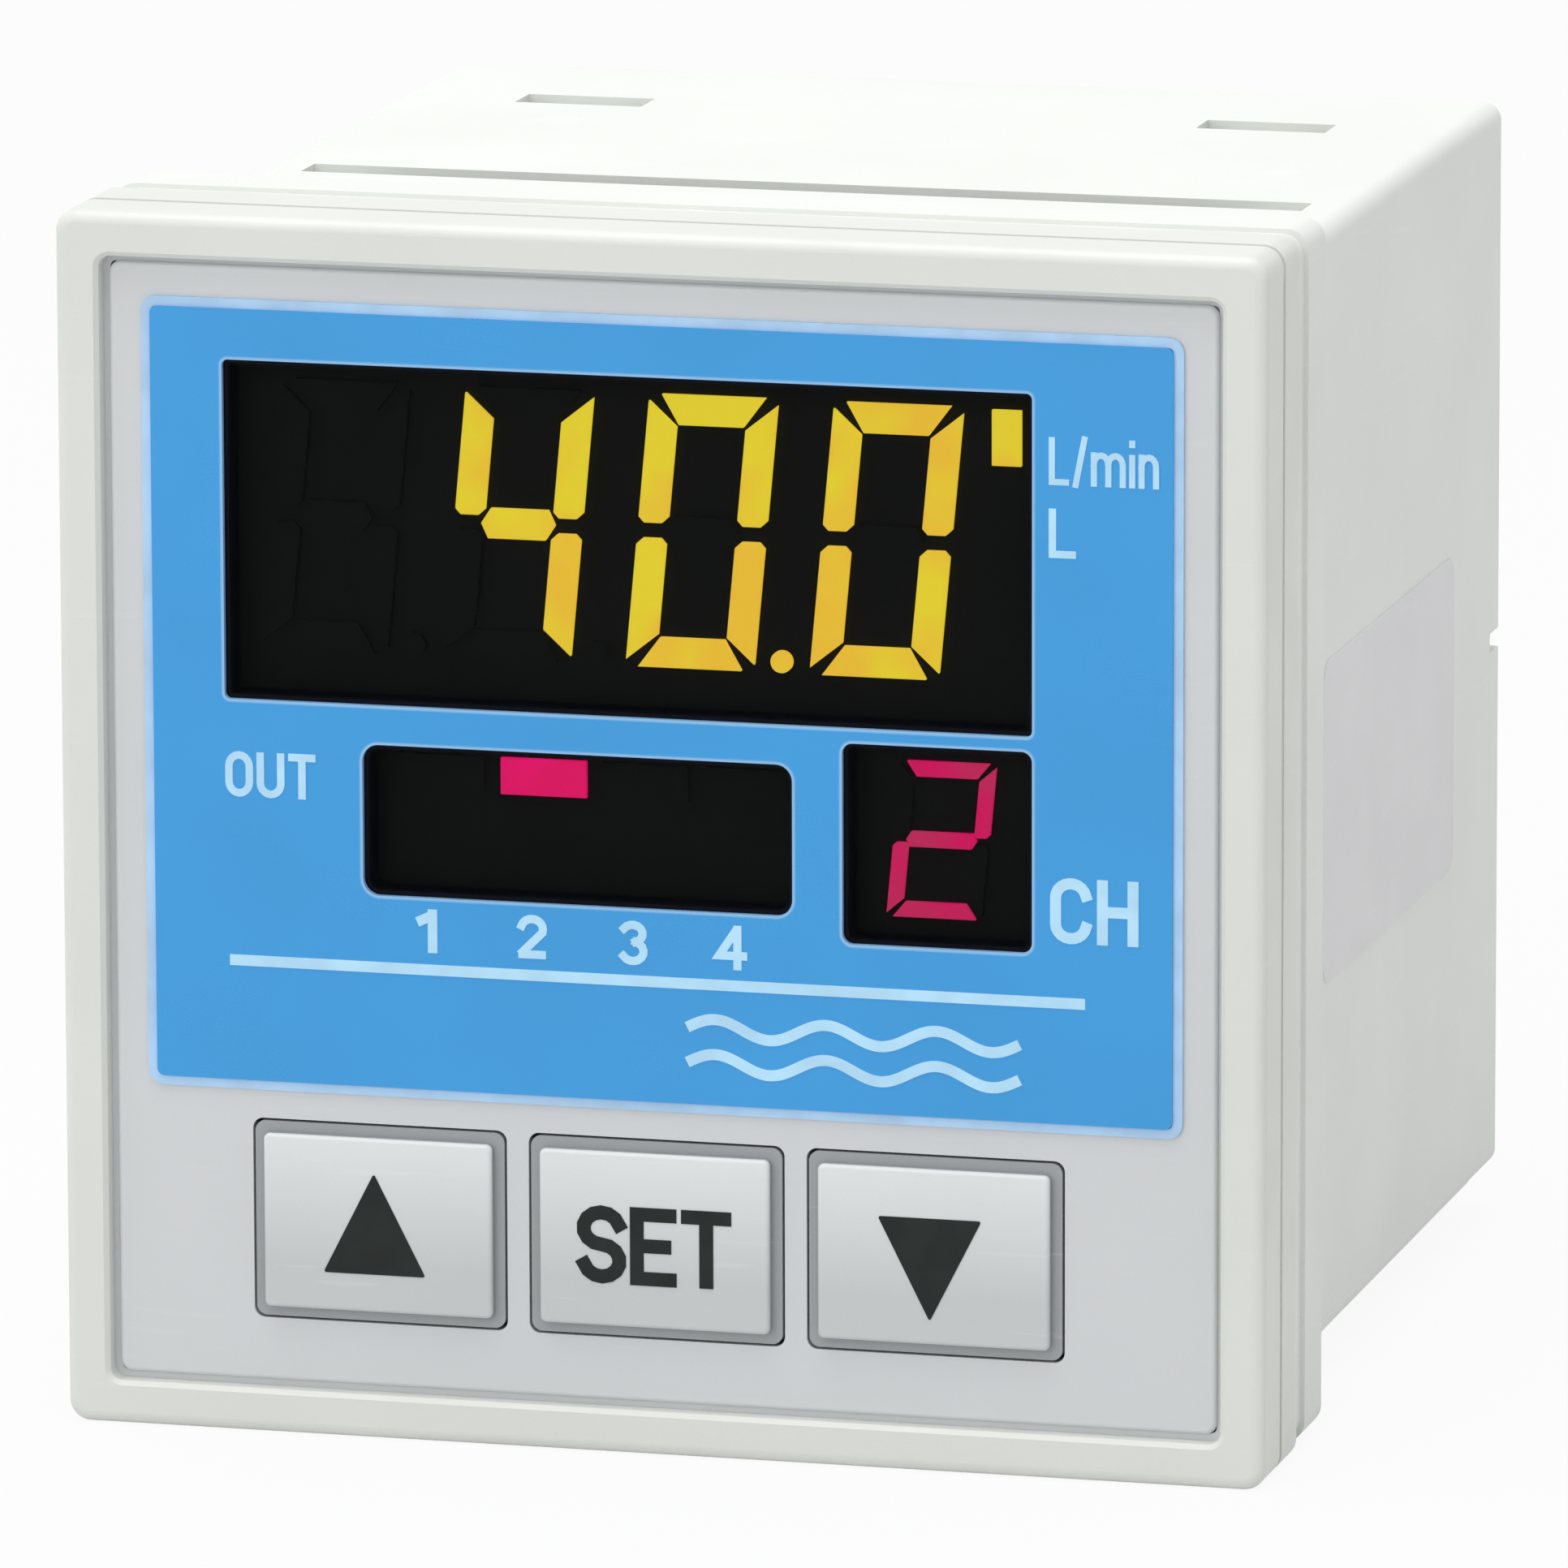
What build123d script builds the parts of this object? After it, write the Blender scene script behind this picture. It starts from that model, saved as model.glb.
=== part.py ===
from build123d import *
import math
import os

os.makedirs("parts", exist_ok=True)

# Four-channel digital flow switch for panel mounting, in millimetres.
# It is modelled with the front plane at Y = 0, depth along +Y, and the middle of the square front
# at X = Z = 0. At the end everything moves to the row frame: +Z up, front facing -Y, origin at the
# middle of the base.

# Front frame: the square ring round the panel
front_size = 40.0
front_corner_radius = 0.7
front_edge_radius = 0.4
rim_width = 1.45
frame_depth = 4.7
opening_corner_radius = 0.4
lip_chamfer = 0.15

# Shallow groove round the frame's sides
groove_setback = 2.3
groove_width = 0.3
groove_depth = 0.15

# Snap bead that holds the front frame on the housing's spigot
bead_length = 12.0
bead_height = 0.3
bead_setback = 1.4

# Front panel: the inset plate with the display opening and the key openings
panel_recess = 0.5
panel_thickness = 1.7
panel_gap = 0.22
panel_edge_radius = 0.15

# Key openings: margins from the panel's edges, and the gap between two openings
key_count = 3
key_left_margin = 4.59
key_right_margin = 4.99
key_bottom_margin = 2.08
key_opening_gap = 0.73
key_opening_height = 6.63
key_opening_radius = 0.35

# Printed sheet: margins from the panel's edges and from the key openings
sheet_thickness = 0.2
sheet_side_margin = 1.43
sheet_top_margin = 1.38
sheet_key_gap = 1.27
sheet_corner_radius = 0.25

# Cut-outs of the sheet: one above, and two side by side below it. The two rows and the printed
# zone under them divide the height that the margins leave.
cutout_left_margin = 2.4
cutout_right_margin = 4.6
cutout_top_margin = 1.65
cutout_row_gap = 0.48
cutout_column_gap = 1.65
main_cutout_radius = 0.2
output_cutout_radius = 0.55
channel_cutout_radius = 0.35
upper_row_share = 0.479
lower_row_share = 0.283
channel_cutout_width = 6.25
output_cutout_margin = 4.6
output_cutout_inset = 0.8

# Display window behind the sheet, and the ledge that carries it
window_thickness = 1.0
window_margin = 0.9
window_clearance = 0.05
ledge_overlap = 0.6

# Display module and the bars on its face
module_clearance = 0.15
module_gap = 0.05
segment_thickness = 0.2
mitre_gap = 0.08
digit_places = 4
digit_left_margin = 0.35
digit_right_margin = 2.05
digit_top_margin = 0.75
digit_bottom_margin = 1.45
digit_gap = 1.85
digit_stroke = 0.98
digit_slant = 5.4
point_radius = 0.36
unit_bar_width = 0.95
unit_bar_height = 1.8
unit_bar_side_margin = 0.675
unit_bar_top_margin = 0.8
output_bars = 4
output_bar_left_margin = 0.6
output_bar_right_margin = 0.1
output_bar_top_margin = 0.475
output_bar_gap = 0.55
output_bar_height = 1.2
channel_digit_side_margin = 1.55
channel_digit_end_margin = 0.725
channel_digit_stroke = 0.5
channel_digit_shift = 0.175

# How far the ends of a digit's bars stop short, as shares of their stroke
corner_cut = 0.42
upright_cut = 0.23
foot_cut = 0.26
foot_bevel = 0.2
middle_bevel = 0.28

# Keys
key_clearance = 0.08
key_step_width = 0.36
key_step_drop = 0.35
key_face_depth = 0.15
key_face_radius = 0.2
key_edge_radius = 0.12
key_flange_overlap = 0.2
key_flange_thickness = 0.6
key_flange_gap = 0.05
key_stem_radius = 1.3
key_travel = 0.3

# Key switches on the display board
switch_size = 5.2
switch_height = 2.2
plunger_radius = 1.2
plunger_clearance = 0.1
plunger_rise = 0.65
plunger_depth = 1.35
switch_stop_gap = 0.05

# Housing
flange_inset = 0.12
flange_thickness = 2.4
neck_length = 1.7
neck_inset = 0.15
spigot_clearance = 0.1
body_inset = 1.45
body_draft = 0.1
body_corner_radius = 0.6
body_wall = 1.5
body_length = 29.0
cavity_corner_radius = 0.6
corner_post_size = 2.2
guide_rib_height = 0.9
guide_rib_width = 0.8
guide_clearance = 0.1

# Cross slots in the top and bottom walls, for the clip that pulls the unit into its panel
slot_end_margin = 1.55
slot_width = 1.6
slot_setback = 9.9

# Latch windows and the rear cover's tabs
latch_corner_margin = 5.15
latch_window_width = 4.45
latch_window_length = 1.8
latch_window_setback = 3.0
tab_side_clearance = 0.6
tab_thickness = 1.0
tab_end_length = 0.7
barb_height = 0.9
barb_gap = 0.2

# Rear cover
cover_depth = 4.2
cover_recess = 1.8
cover_wall = 1.6
cover_rim = 1.5
cover_edge_radius = 0.3
cover_lip_length = 1.5
cover_lip_clearance = 0.1
cover_notch_width = 0.7
cover_notch_length = 1.6
socket_clearance = 0.15

# Circuit boards
board_clearance = 0.2
display_board_depth = 8.0
display_board_thickness = 1.0
connector_board_thickness = 1.2
connector_board_setback = 6.7
main_board_thickness = 1.2
main_board_end_gap = 0.3
pin_hole_radius = 0.5

# Rear sockets and their pins
sensor_socket_width = 11.8
sensor_socket_height = 7.0
sensor_row_gap = 1.2
sensor_pins = 4
power_socket_width = 22.0
power_socket_height = 7.0
power_pins = 8
socket_row_margin = 1.8
socket_mouth_inset = 0.4
socket_wall = 0.85
socket_floor = 1.0
socket_latch_width = 3.2
socket_latch_depth = 2.6
socket_key_width = 1.0
socket_key_height = 0.4
pin_spacing = 2.0
pin_side = 0.64
pin_clearance = 0.05
pin_reach = 4.2
pin_tail = 0.9

# Right-angle links between the main board and the two upright boards
link_pins = 8
link_block_depth = 2.4
link_block_height = 2.4
link_tail = 0.8

# Chips and capacitors, all at the middle of the main board's length
component_edge_margin = 1.4
controller_side = 10.0
controller_height = 1.4
regulator_width = 6.5
regulator_length = 5.5
regulator_height = 2.2
capacitor_radius = 2.5
capacitor_height = 5.6
capacitor_spacing = 6.2
capacitor_base = 0.6
driver_side = 7.0
driver_height = 1.2

# Levels along the depth that several pieces share
panel_back = panel_recess + panel_thickness
sheet_front = panel_recess - sheet_thickness
window_back = panel_recess + window_thickness
segment_front = window_back + module_gap
module_front = segment_front + segment_thickness
bead_depth = frame_depth - bead_setback
neck_back = frame_depth + neck_length
seat_depth = neck_back + flange_thickness
slot_depth = seat_depth + slot_setback
housing_back = seat_depth + body_length
total_depth = housing_back + cover_depth
display_board_back = display_board_depth + display_board_thickness
connector_board_back = housing_back - connector_board_setback
connector_board_front = connector_board_back - connector_board_thickness
main_board_front = display_board_back + main_board_end_gap
main_board_back = connector_board_front - main_board_end_gap
main_board_middle = (main_board_front + main_board_back) / 2
cover_floor_back = total_depth - cover_recess
cover_floor_front = cover_floor_back - cover_wall
socket_mouth = total_depth - socket_mouth_inset
switch_front = display_board_depth - switch_height
plunger_front = switch_front - plunger_rise
plunger_back = switch_front + plunger_depth
latch_window_depth = housing_back - latch_window_setback

# The front's sizes across the depth
frame_opening = front_size - 2 * rim_width
panel_size = frame_opening - 2 * panel_gap
spigot_size = frame_opening - 2 * spigot_clearance
flange_size = front_size - 2 * flange_inset
key_row_width = panel_size - key_left_margin - key_right_margin
key_opening_width = (key_row_width - (key_count - 1) * key_opening_gap) / key_count
key_pitch = key_opening_width + key_opening_gap
key_first_x = key_left_margin + key_opening_width / 2 - panel_size / 2
key_places = [key_first_x + index * key_pitch for index in range(key_count)]
key_z = key_bottom_margin + key_opening_height / 2 - panel_size / 2
key_width = key_opening_width - 2 * key_clearance
key_height = key_opening_height - 2 * key_clearance
key_names = ["up", "set", "down"]
sheet_width = panel_size - 2 * sheet_side_margin
sheet_top = panel_size / 2 - sheet_top_margin
sheet_bottom = key_z + key_opening_height / 2 + sheet_key_gap
sheet_height = sheet_top - sheet_bottom
sheet_z = (sheet_top + sheet_bottom) / 2

# The cut-outs' edges, widths, heights and middles
display_left = cutout_left_margin - sheet_width / 2
display_right = sheet_width / 2 - cutout_right_margin
display_top = sheet_top - cutout_top_margin
rows_height = sheet_height - cutout_top_margin - cutout_row_gap
main_cutout_height = upper_row_share * rows_height
main_cutout_z = display_top - main_cutout_height / 2
channel_cutout_height = lower_row_share * rows_height
channel_cutout_x = display_right - channel_cutout_width / 2
lower_cutout_z = display_top - main_cutout_height - cutout_row_gap - channel_cutout_height / 2
display_bottom = lower_cutout_z - channel_cutout_height / 2
display_width = display_right - display_left
display_height = display_top - display_bottom
display_x = (display_left + display_right) / 2
display_z = (display_top + display_bottom) / 2
output_left = display_left + output_cutout_margin
output_right = display_right - channel_cutout_width - cutout_column_gap
output_cutout_width = output_right - output_left
output_cutout_height = channel_cutout_height - 2 * output_cutout_inset
output_cutout_x = (output_left + output_right) / 2
window_width = display_width + 2 * window_margin
window_height = display_height + 2 * window_margin
ledge_width = window_width - 2 * ledge_overlap
ledge_height = window_height - 2 * ledge_overlap
module_width = ledge_width - 2 * module_clearance
module_height = ledge_height - 2 * module_clearance
module_bottom = display_z - module_height / 2

# The digits and bars inside the cut-outs
digit_pitch = (display_width - digit_left_margin - digit_right_margin) / digit_places
digit_width = digit_pitch - digit_gap
digit_height = main_cutout_height - digit_top_margin - digit_bottom_margin
first_digit_x = display_left + digit_left_margin + digit_pitch / 2
digit_z = display_top - digit_top_margin - digit_height / 2
unit_bar_x = display_right - unit_bar_side_margin - unit_bar_width / 2
unit_bar_z = display_top - unit_bar_top_margin - unit_bar_height / 2
output_bar_row = output_cutout_width - output_bar_left_margin - output_bar_right_margin
output_bar_pitch = output_bar_row / output_bars
output_bar_width = output_bar_pitch - output_bar_gap
first_output_bar_x = output_left + output_bar_left_margin + output_bar_pitch / 2
output_bar_z = lower_cutout_z + output_cutout_height / 2 - output_bar_top_margin - output_bar_height / 2
channel_digit_width = channel_cutout_width - 2 * channel_digit_side_margin
channel_digit_height = channel_cutout_height - 2 * channel_digit_end_margin
channel_digit_x = channel_cutout_x - channel_digit_shift

# The body's sizes across the depth
body_size = front_size - 2 * body_inset
body_back_size = body_size - 2 * body_length * math.tan(math.radians(body_draft))
cavity_size = body_size - 2 * body_wall
board_size = cavity_size - 2 * board_clearance
slot_length = body_size - 2 * slot_end_margin
latch_x = cavity_size / 2 - latch_corner_margin
tab_width = latch_window_width - 2 * tab_side_clearance
cover_recess_size = body_back_size - 2 * cover_rim

# Two rows of two sensor sockets above, the power socket below, and the links' pins between them,
# where they also pass under the display module
upper_row_z = (cover_recess_size - sensor_socket_height) / 2 - socket_row_margin
lower_row_z = upper_row_z - sensor_socket_height - sensor_row_gap
power_socket_z = socket_row_margin + (power_socket_height - cover_recess_size) / 2
sensor_places = [
    (side * cover_recess_size / 4, row_z) for row_z in (upper_row_z, lower_row_z) for side in (-1, 1)
]
sensor_rows_bottom = lower_row_z - sensor_socket_height / 2
power_socket_top = power_socket_z + power_socket_height / 2
link_z = (min(sensor_rows_bottom, module_bottom) + power_socket_top) / 2
main_board_top = link_z - link_block_height / 2
main_board_z = main_board_top - main_board_thickness / 2
regulator_x = component_edge_margin + (regulator_width - board_size) / 2
capacitor_x = board_size / 2 - component_edge_margin - capacitor_radius


def pin_row(count):
    """Places of a row of pins, either side of its middle."""
    return [(index - (count - 1) / 2) * pin_spacing for index in range(count)]


sensor_pin_offsets = pin_row(sensor_pins)
power_pin_offsets = pin_row(power_pins)
link_pin_offsets = pin_row(link_pins)


# Plates and blocks that lie parallel to the front
def upright(outline, front, back, x=0.0, z=0.0, taper=0.0):
    """Extrudes an outline drawn in X and Z from depth front to depth back."""
    face = Plane.XZ.offset(-front) * (Pos(x, z) * outline)
    return extrude(face, amount=-(back - front), taper=taper)


def rounded(width, height, radius):
    return RectangleRounded(width, height, min(radius, 0.45 * min(width, height)))


def slab(width, height, front, back, x=0.0, z=0.0):
    return upright(Rectangle(width, height), front, back, x, z)


def rounded_slab(width, height, radius, front, back, x=0.0, z=0.0):
    return upright(rounded(width, height, radius), front, back, x, z)


def group(solids):
    return Compound(children=[solid for item in solids for solid in item.solids()])


# Front frame and front panel
def make_front_frame():
    ring = rounded_slab(front_size, front_size, front_corner_radius, 0, frame_depth)
    front_edges = ring.faces().sort_by(Axis.Y)[0].edges()
    ring = fillet(front_edges, front_edge_radius)
    ring -= make_side_groove()
    ring -= rounded_slab(frame_opening, frame_opening, opening_corner_radius, 0, frame_depth)
    inner_edges = ring.faces().sort_by(Axis.Y)[0].inner_wires()[0].edges()
    ring = chamfer(inner_edges, lip_chamfer)
    for bead in make_beads(frame_opening, spigot_clearance):
        ring -= bead
    return ring


def make_side_groove():
    """What the groove takes from the frame: all that lies outside its floor, over its width."""
    front = groove_setback
    back = groove_setback + groove_width
    floor_size = front_size - 2 * groove_depth
    floor_radius = max(front_corner_radius - groove_depth, groove_depth)
    outside = slab(2 * front_size, 2 * front_size, front, back)
    return outside - rounded_slab(floor_size, floor_size, floor_radius, front, back)


def make_beads(size, extra):
    """Four half-round beads along the sides of a square of this size, enlarged by extra."""
    radius = bead_height + extra
    length = bead_length + 2 * extra
    offset = size / 2 - radius / 4
    rod = Rot(0, 90, 0) * Cylinder(radius, length)
    bead = Pos(0, bead_depth, offset) * rod
    return [Rot(0, 90 * turn, 0) * bead for turn in range(4)]


def make_front_panel():
    panel = rounded_slab(panel_size, panel_size, opening_corner_radius, panel_recess, panel_back)
    panel = fillet(panel.faces().sort_by(Axis.Y)[0].edges(), panel_edge_radius)
    panel -= slab(
        window_width + 2 * window_clearance,
        window_height + 2 * window_clearance,
        panel_recess,
        window_back,
        display_x,
        display_z,
    )
    panel -= slab(ledge_width, ledge_height, panel_recess, panel_back, display_x, display_z)
    for x in key_places:
        panel -= rounded_slab(
            key_opening_width, key_opening_height, key_opening_radius, panel_recess, panel_back, x, key_z
        )
    return panel


def make_face_sheet():
    sheet = rounded_slab(
        sheet_width, sheet_height, sheet_corner_radius, sheet_front, panel_recess, 0, sheet_z
    )
    cutouts = [
        (display_width, main_cutout_height, main_cutout_radius, display_x, main_cutout_z),
        (output_cutout_width, output_cutout_height, output_cutout_radius, output_cutout_x, lower_cutout_z),
        (
            channel_cutout_width,
            channel_cutout_height,
            channel_cutout_radius,
            channel_cutout_x,
            lower_cutout_z,
        ),
    ]
    for width, height, radius, x, z in cutouts:
        sheet -= rounded_slab(width, height, radius, sheet_front, panel_recess, x, z)
    return sheet


def make_display_window():
    return slab(window_width, window_height, panel_recess, window_back, display_x, display_z)


# Display module and its segments
def make_display_module():
    return slab(module_width, module_height, module_front, display_board_depth, display_x, display_z)


def slanted(points, x, z):
    """Leans an outline to the right by the digits' slant, and moves it to its place."""
    lean = math.tan(math.radians(digit_slant))
    return [(x + px + pz * lean, z + pz) for px, pz in points]


def mirrored(points, across, along):
    """Mirrors an outline in X where across is -1, and in Z where along is -1."""
    return [(across * px, along * pz) for px, pz in points]


def top_bar(half_width, half_height, stroke):
    """Bar along the digit's top, mitred towards its inner edge and cut short at its outer one."""
    outer = half_width - corner_cut * stroke
    inner = half_width - stroke - mitre_gap
    inner_z = half_height - stroke
    return [(-outer, half_height), (outer, half_height), (inner, inner_z), (-inner, inner_z)]


def upright_bar(half_width, half_height, stroke):
    """Bar down the digit's right side: mitred at its top, and with two bevels at its foot."""
    inner = half_width - stroke
    foot = foot_cut * stroke
    bevel = foot_bevel * stroke
    return [
        (half_width, half_height - upright_cut * stroke),
        (half_width, foot + bevel),
        (half_width - bevel, foot),
        (inner + bevel, foot),
        (inner, foot + bevel),
        (inner, half_height - stroke - mitre_gap),
    ]


def middle_bar(half_width, stroke):
    """Bar across the digit's middle, with a short point at each end."""
    tip = half_width - stroke + mitre_gap
    flat = tip - middle_bevel * stroke
    half = stroke / 2
    return [(-tip, 0), (-flat, half), (flat, half), (tip, 0), (flat, -half), (-flat, -half)]


def digit_segments(width, height, stroke):
    """The seven bars of one digit, by letter, about its middle."""
    top = top_bar(width / 2, height / 2, stroke)
    upright_right = upright_bar(width / 2, height / 2, stroke)
    return {
        "a": top,
        "b": upright_right,
        "c": mirrored(upright_right, 1, -1),
        "d": mirrored(top, 1, -1),
        "e": mirrored(upright_right, -1, -1),
        "f": mirrored(upright_right, -1, 1),
        "g": middle_bar(width / 2, stroke),
    }


def raised(points):
    """One segment standing on the module's face."""
    return upright(make_face(Polyline(points, close=True)), segment_front, module_front)


lit_bars = {" ": "", "0": "abcdef", "2": "abdeg", "4": "bcfg"}


def make_digit(character, x, z, width, height, stroke, lit):
    bars = digit_segments(width, height, stroke)
    shown = [letter for letter in bars if (letter in lit_bars[character]) == lit]
    return [raised(slanted(bars[letter], x, z)) for letter in shown]


def make_point(index):
    x = first_digit_x + (index + 0.5) * digit_pitch - digit_height / 2 * math.tan(math.radians(digit_slant))
    z = digit_z - digit_height / 2 + point_radius
    return upright(Circle(point_radius), segment_front, module_front, x, z)


def make_main_digits(lit):
    solids = []
    for index, character in enumerate(" 400"):
        x = first_digit_x + index * digit_pitch
        solids += make_digit(character, x, digit_z, digit_width, digit_height, digit_stroke, lit)
    if lit:
        solids.append(make_point(2))
        solids.append(
            slab(unit_bar_width, unit_bar_height, segment_front, module_front, unit_bar_x, unit_bar_z)
        )
    else:
        solids += [make_point(index) for index in (0, 1)]
    return group(solids)


def make_output_bars(lit):
    lit_bar = 1
    solids = []
    for index in range(output_bars):
        x = first_output_bar_x + index * output_bar_pitch
        if (index == lit_bar) == lit:
            solids.append(
                slab(output_bar_width, output_bar_height, segment_front, module_front, x, output_bar_z)
            )
    return group(solids)


def make_channel_digit(lit):
    return group(
        make_digit(
            "2",
            channel_digit_x,
            lower_cutout_z,
            channel_digit_width,
            channel_digit_height,
            channel_digit_stroke,
            lit,
        )
    )


# Keys, their plungers and the switch bodies
def make_key(x):
    step_depth = key_face_depth + key_step_drop
    flange_front = panel_back + key_flange_gap
    flange_back = flange_front + key_flange_thickness
    face_width = key_width - 2 * key_step_width
    face_height = key_height - 2 * key_step_width
    face_block = rounded_slab(face_width, face_height, key_face_radius, key_face_depth, step_depth)
    face_block = fillet(face_block.faces().sort_by(Axis.Y)[0].edges(), key_edge_radius)
    body = rounded_slab(key_width, key_height, key_opening_radius, step_depth, flange_front)
    flange = slab(
        key_opening_width + 2 * key_flange_overlap,
        key_opening_height + 2 * key_flange_overlap,
        flange_front,
        flange_back,
    )
    stem = upright(Circle(key_stem_radius), flange_back, plunger_front)
    return Pos(x, 0, key_z) * (face_block + body + flange + stem)


def make_plunger(x):
    return upright(Circle(plunger_radius), plunger_front, plunger_back, x, key_z)


def make_key_switches():
    bore_back = plunger_back + key_travel + switch_stop_gap
    bodies = []
    for x in key_places:
        body = slab(switch_size, switch_size, switch_front, display_board_depth, x, key_z)
        body -= upright(Circle(plunger_radius + plunger_clearance), switch_front, bore_back, x, key_z)
        bodies.append(body)
    return group(bodies)


# Housing
def make_housing():
    spigot = rounded_slab(spigot_size, spigot_size, opening_corner_radius, panel_back, frame_depth)
    for bead in make_beads(spigot_size, 0):
        spigot += bead
    neck_size = flange_size - 2 * neck_inset
    neck = rounded_slab(neck_size, neck_size, front_corner_radius, frame_depth, neck_back)
    flange = rounded_slab(flange_size, flange_size, front_corner_radius, neck_back, seat_depth)
    outline = rounded(body_size, body_size, body_corner_radius)
    body = upright(outline, seat_depth, housing_back, taper=body_draft)
    shell = spigot + neck + flange + body
    shell -= rounded_slab(cavity_size, cavity_size, cavity_corner_radius, panel_back, housing_back)
    shell += make_corner_posts()
    shell += make_guide_ribs()
    for side in (-1, 1):
        shell -= make_cross_slot(side)
        for x in (-latch_x, latch_x):
            shell -= make_latch_window(x, side)
    return shell


def make_corner_posts():
    """Posts in the corners, between the display board and the connector board."""
    offset = (cavity_size - corner_post_size) / 2
    places = [(offset, offset), (offset, -offset), (-offset, offset), (-offset, -offset)]
    post = [
        slab(corner_post_size, corner_post_size, display_board_back, connector_board_front, x, z)
        for x, z in places
    ]
    return post


def make_guide_ribs():
    """Two ribs on each side wall, which hold the main board's edges between them."""
    ribs = []
    offset = main_board_thickness / 2 + guide_clearance + guide_rib_width / 2
    x = (cavity_size - guide_rib_height) / 2
    for side in (-1, 1):
        for step in (-offset, offset):
            ribs.append(
                slab(
                    guide_rib_height,
                    guide_rib_width,
                    main_board_front,
                    main_board_back,
                    side * x,
                    main_board_z + step,
                )
            )
    return ribs


def make_cross_slot(side):
    """A slot right through the top wall (side 1) or the bottom wall (side -1)."""
    reach = front_size / 2 - cavity_size / 2
    middle = side * (cavity_size + reach) / 2
    half = slot_width / 2
    return slab(slot_length, reach, slot_depth - half, slot_depth + half, 0, middle)


def make_latch_window(x, side):
    reach = front_size / 2 - cavity_size / 2
    middle = side * (cavity_size + reach) / 2
    half = latch_window_length / 2
    return slab(
        latch_window_width, reach, latch_window_depth - half, latch_window_depth + half, x, middle
    )


# Rear cover
def make_rear_cover():
    cover = rounded_slab(body_back_size, body_back_size, body_corner_radius, housing_back, total_depth)
    cover = fillet(cover.faces().sort_by(Axis.Y)[-1].edges(), cover_edge_radius)
    cover -= rounded_slab(
        cover_recess_size, cover_recess_size, cavity_corner_radius, cover_floor_back, total_depth
    )
    lip_size = cavity_size - 2 * cover_lip_clearance
    lip = rounded_slab(
        lip_size, lip_size, cavity_corner_radius, housing_back - cover_lip_length, housing_back
    )
    cover += lip
    hollow_size = lip_size - 2 * tab_thickness
    cover -= rounded_slab(
        hollow_size, hollow_size, cavity_corner_radius, housing_back - cover_lip_length, cover_floor_front
    )
    for side in (-1, 1):
        for x in (-latch_x, latch_x):
            cover += make_tab(x, side)
    for x, z in sensor_places:
        cover -= make_socket_opening(sensor_socket_width, sensor_socket_height, x, z)
    cover -= make_socket_opening(power_socket_width, power_socket_height, 0, power_socket_z)
    cover -= slab(
        front_size, cover_notch_width, total_depth - cover_notch_length, total_depth
    )
    return cover


def make_tab(x, side):
    """A tab forward of the lip, with a barb that stands in the housing's latch window."""
    outer = cavity_size / 2 - cover_lip_clearance
    barb_back = latch_window_depth + latch_window_length / 2 - barb_gap
    barb_front = latch_window_depth - latch_window_length / 2
    tip = barb_front - tab_end_length
    points = [
        (tip, outer - tab_thickness),
        (tip, outer),
        (barb_front, outer),
        (barb_back, outer + barb_height),
        (barb_back, outer),
        (cover_floor_front, outer),
        (cover_floor_front, outer - tab_thickness),
    ]
    profile = make_face(Polyline(points, close=True))
    tab = extrude(Plane.YZ.offset(-tab_width / 2) * profile, amount=tab_width)
    if side < 0:
        tab = mirror(tab, about=Plane.XY)
    return Pos(x, 0, 0) * tab


def make_socket_opening(width, height, x, z):
    return slab(
        width + 2 * socket_clearance,
        height + 2 * socket_clearance,
        cover_floor_front,
        cover_floor_back,
        x,
        z,
    )


# Rear sockets
def make_socket(width, height, offsets, x, z):
    """A socket with its mouth to the rear: latch notch in the top wall, two keys on the floor wall."""
    shell = slab(width, height, connector_board_back, socket_mouth)
    inner_width = width - 2 * socket_wall
    inner_height = height - 2 * socket_wall
    floor_back = connector_board_back + socket_floor
    shell -= slab(inner_width, inner_height, floor_back, socket_mouth)
    shell -= slab(
        socket_latch_width,
        socket_wall,
        socket_mouth - socket_latch_depth,
        socket_mouth,
        0,
        (height - socket_wall) / 2,
    )
    for side in (-1, 1):
        shell += slab(
            socket_key_width,
            socket_key_height,
            floor_back,
            socket_mouth - socket_latch_depth,
            side * inner_width / 4,
            (socket_key_height - inner_height) / 2,
        )
    hole = pin_side + 2 * pin_clearance
    for offset in offsets:
        shell -= slab(hole, hole, connector_board_back, floor_back, offset, 0)
    return Pos(x, 0, z) * shell


def make_socket_pins(offsets, x, z):
    floor_back = connector_board_back + socket_floor
    front = connector_board_front - pin_tail
    pins = []
    for offset in offsets:
        pin = slab(pin_side, pin_side, front, floor_back + pin_reach, x + offset, z)
        tip = pin.faces().sort_by(Axis.Y)[-1].edges()
        pins.append(chamfer(tip, pin_side / 4))
    return pins


def make_sensor_pins():
    return group([pin for x, z in sensor_places for pin in make_socket_pins(sensor_pin_offsets, x, z)])


def make_power_pins():
    return group(make_socket_pins(power_pin_offsets, 0, power_socket_z))


# Circuit boards
def make_display_board():
    board = slab(board_size, board_size, display_board_depth, display_board_back)
    for offset in link_pin_offsets:
        board -= upright(Circle(pin_hole_radius), display_board_depth, display_board_back, offset, link_z)
    return board


def make_connector_board():
    board = slab(board_size, board_size, connector_board_front, connector_board_back)
    places = [(x + offset, z) for x, z in sensor_places for offset in sensor_pin_offsets]
    places += [(offset, power_socket_z) for offset in power_pin_offsets]
    places += [(offset, link_z) for offset in link_pin_offsets]
    for x, z in places:
        board -= upright(Circle(pin_hole_radius), connector_board_front, connector_board_back, x, z)
    return board


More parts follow.
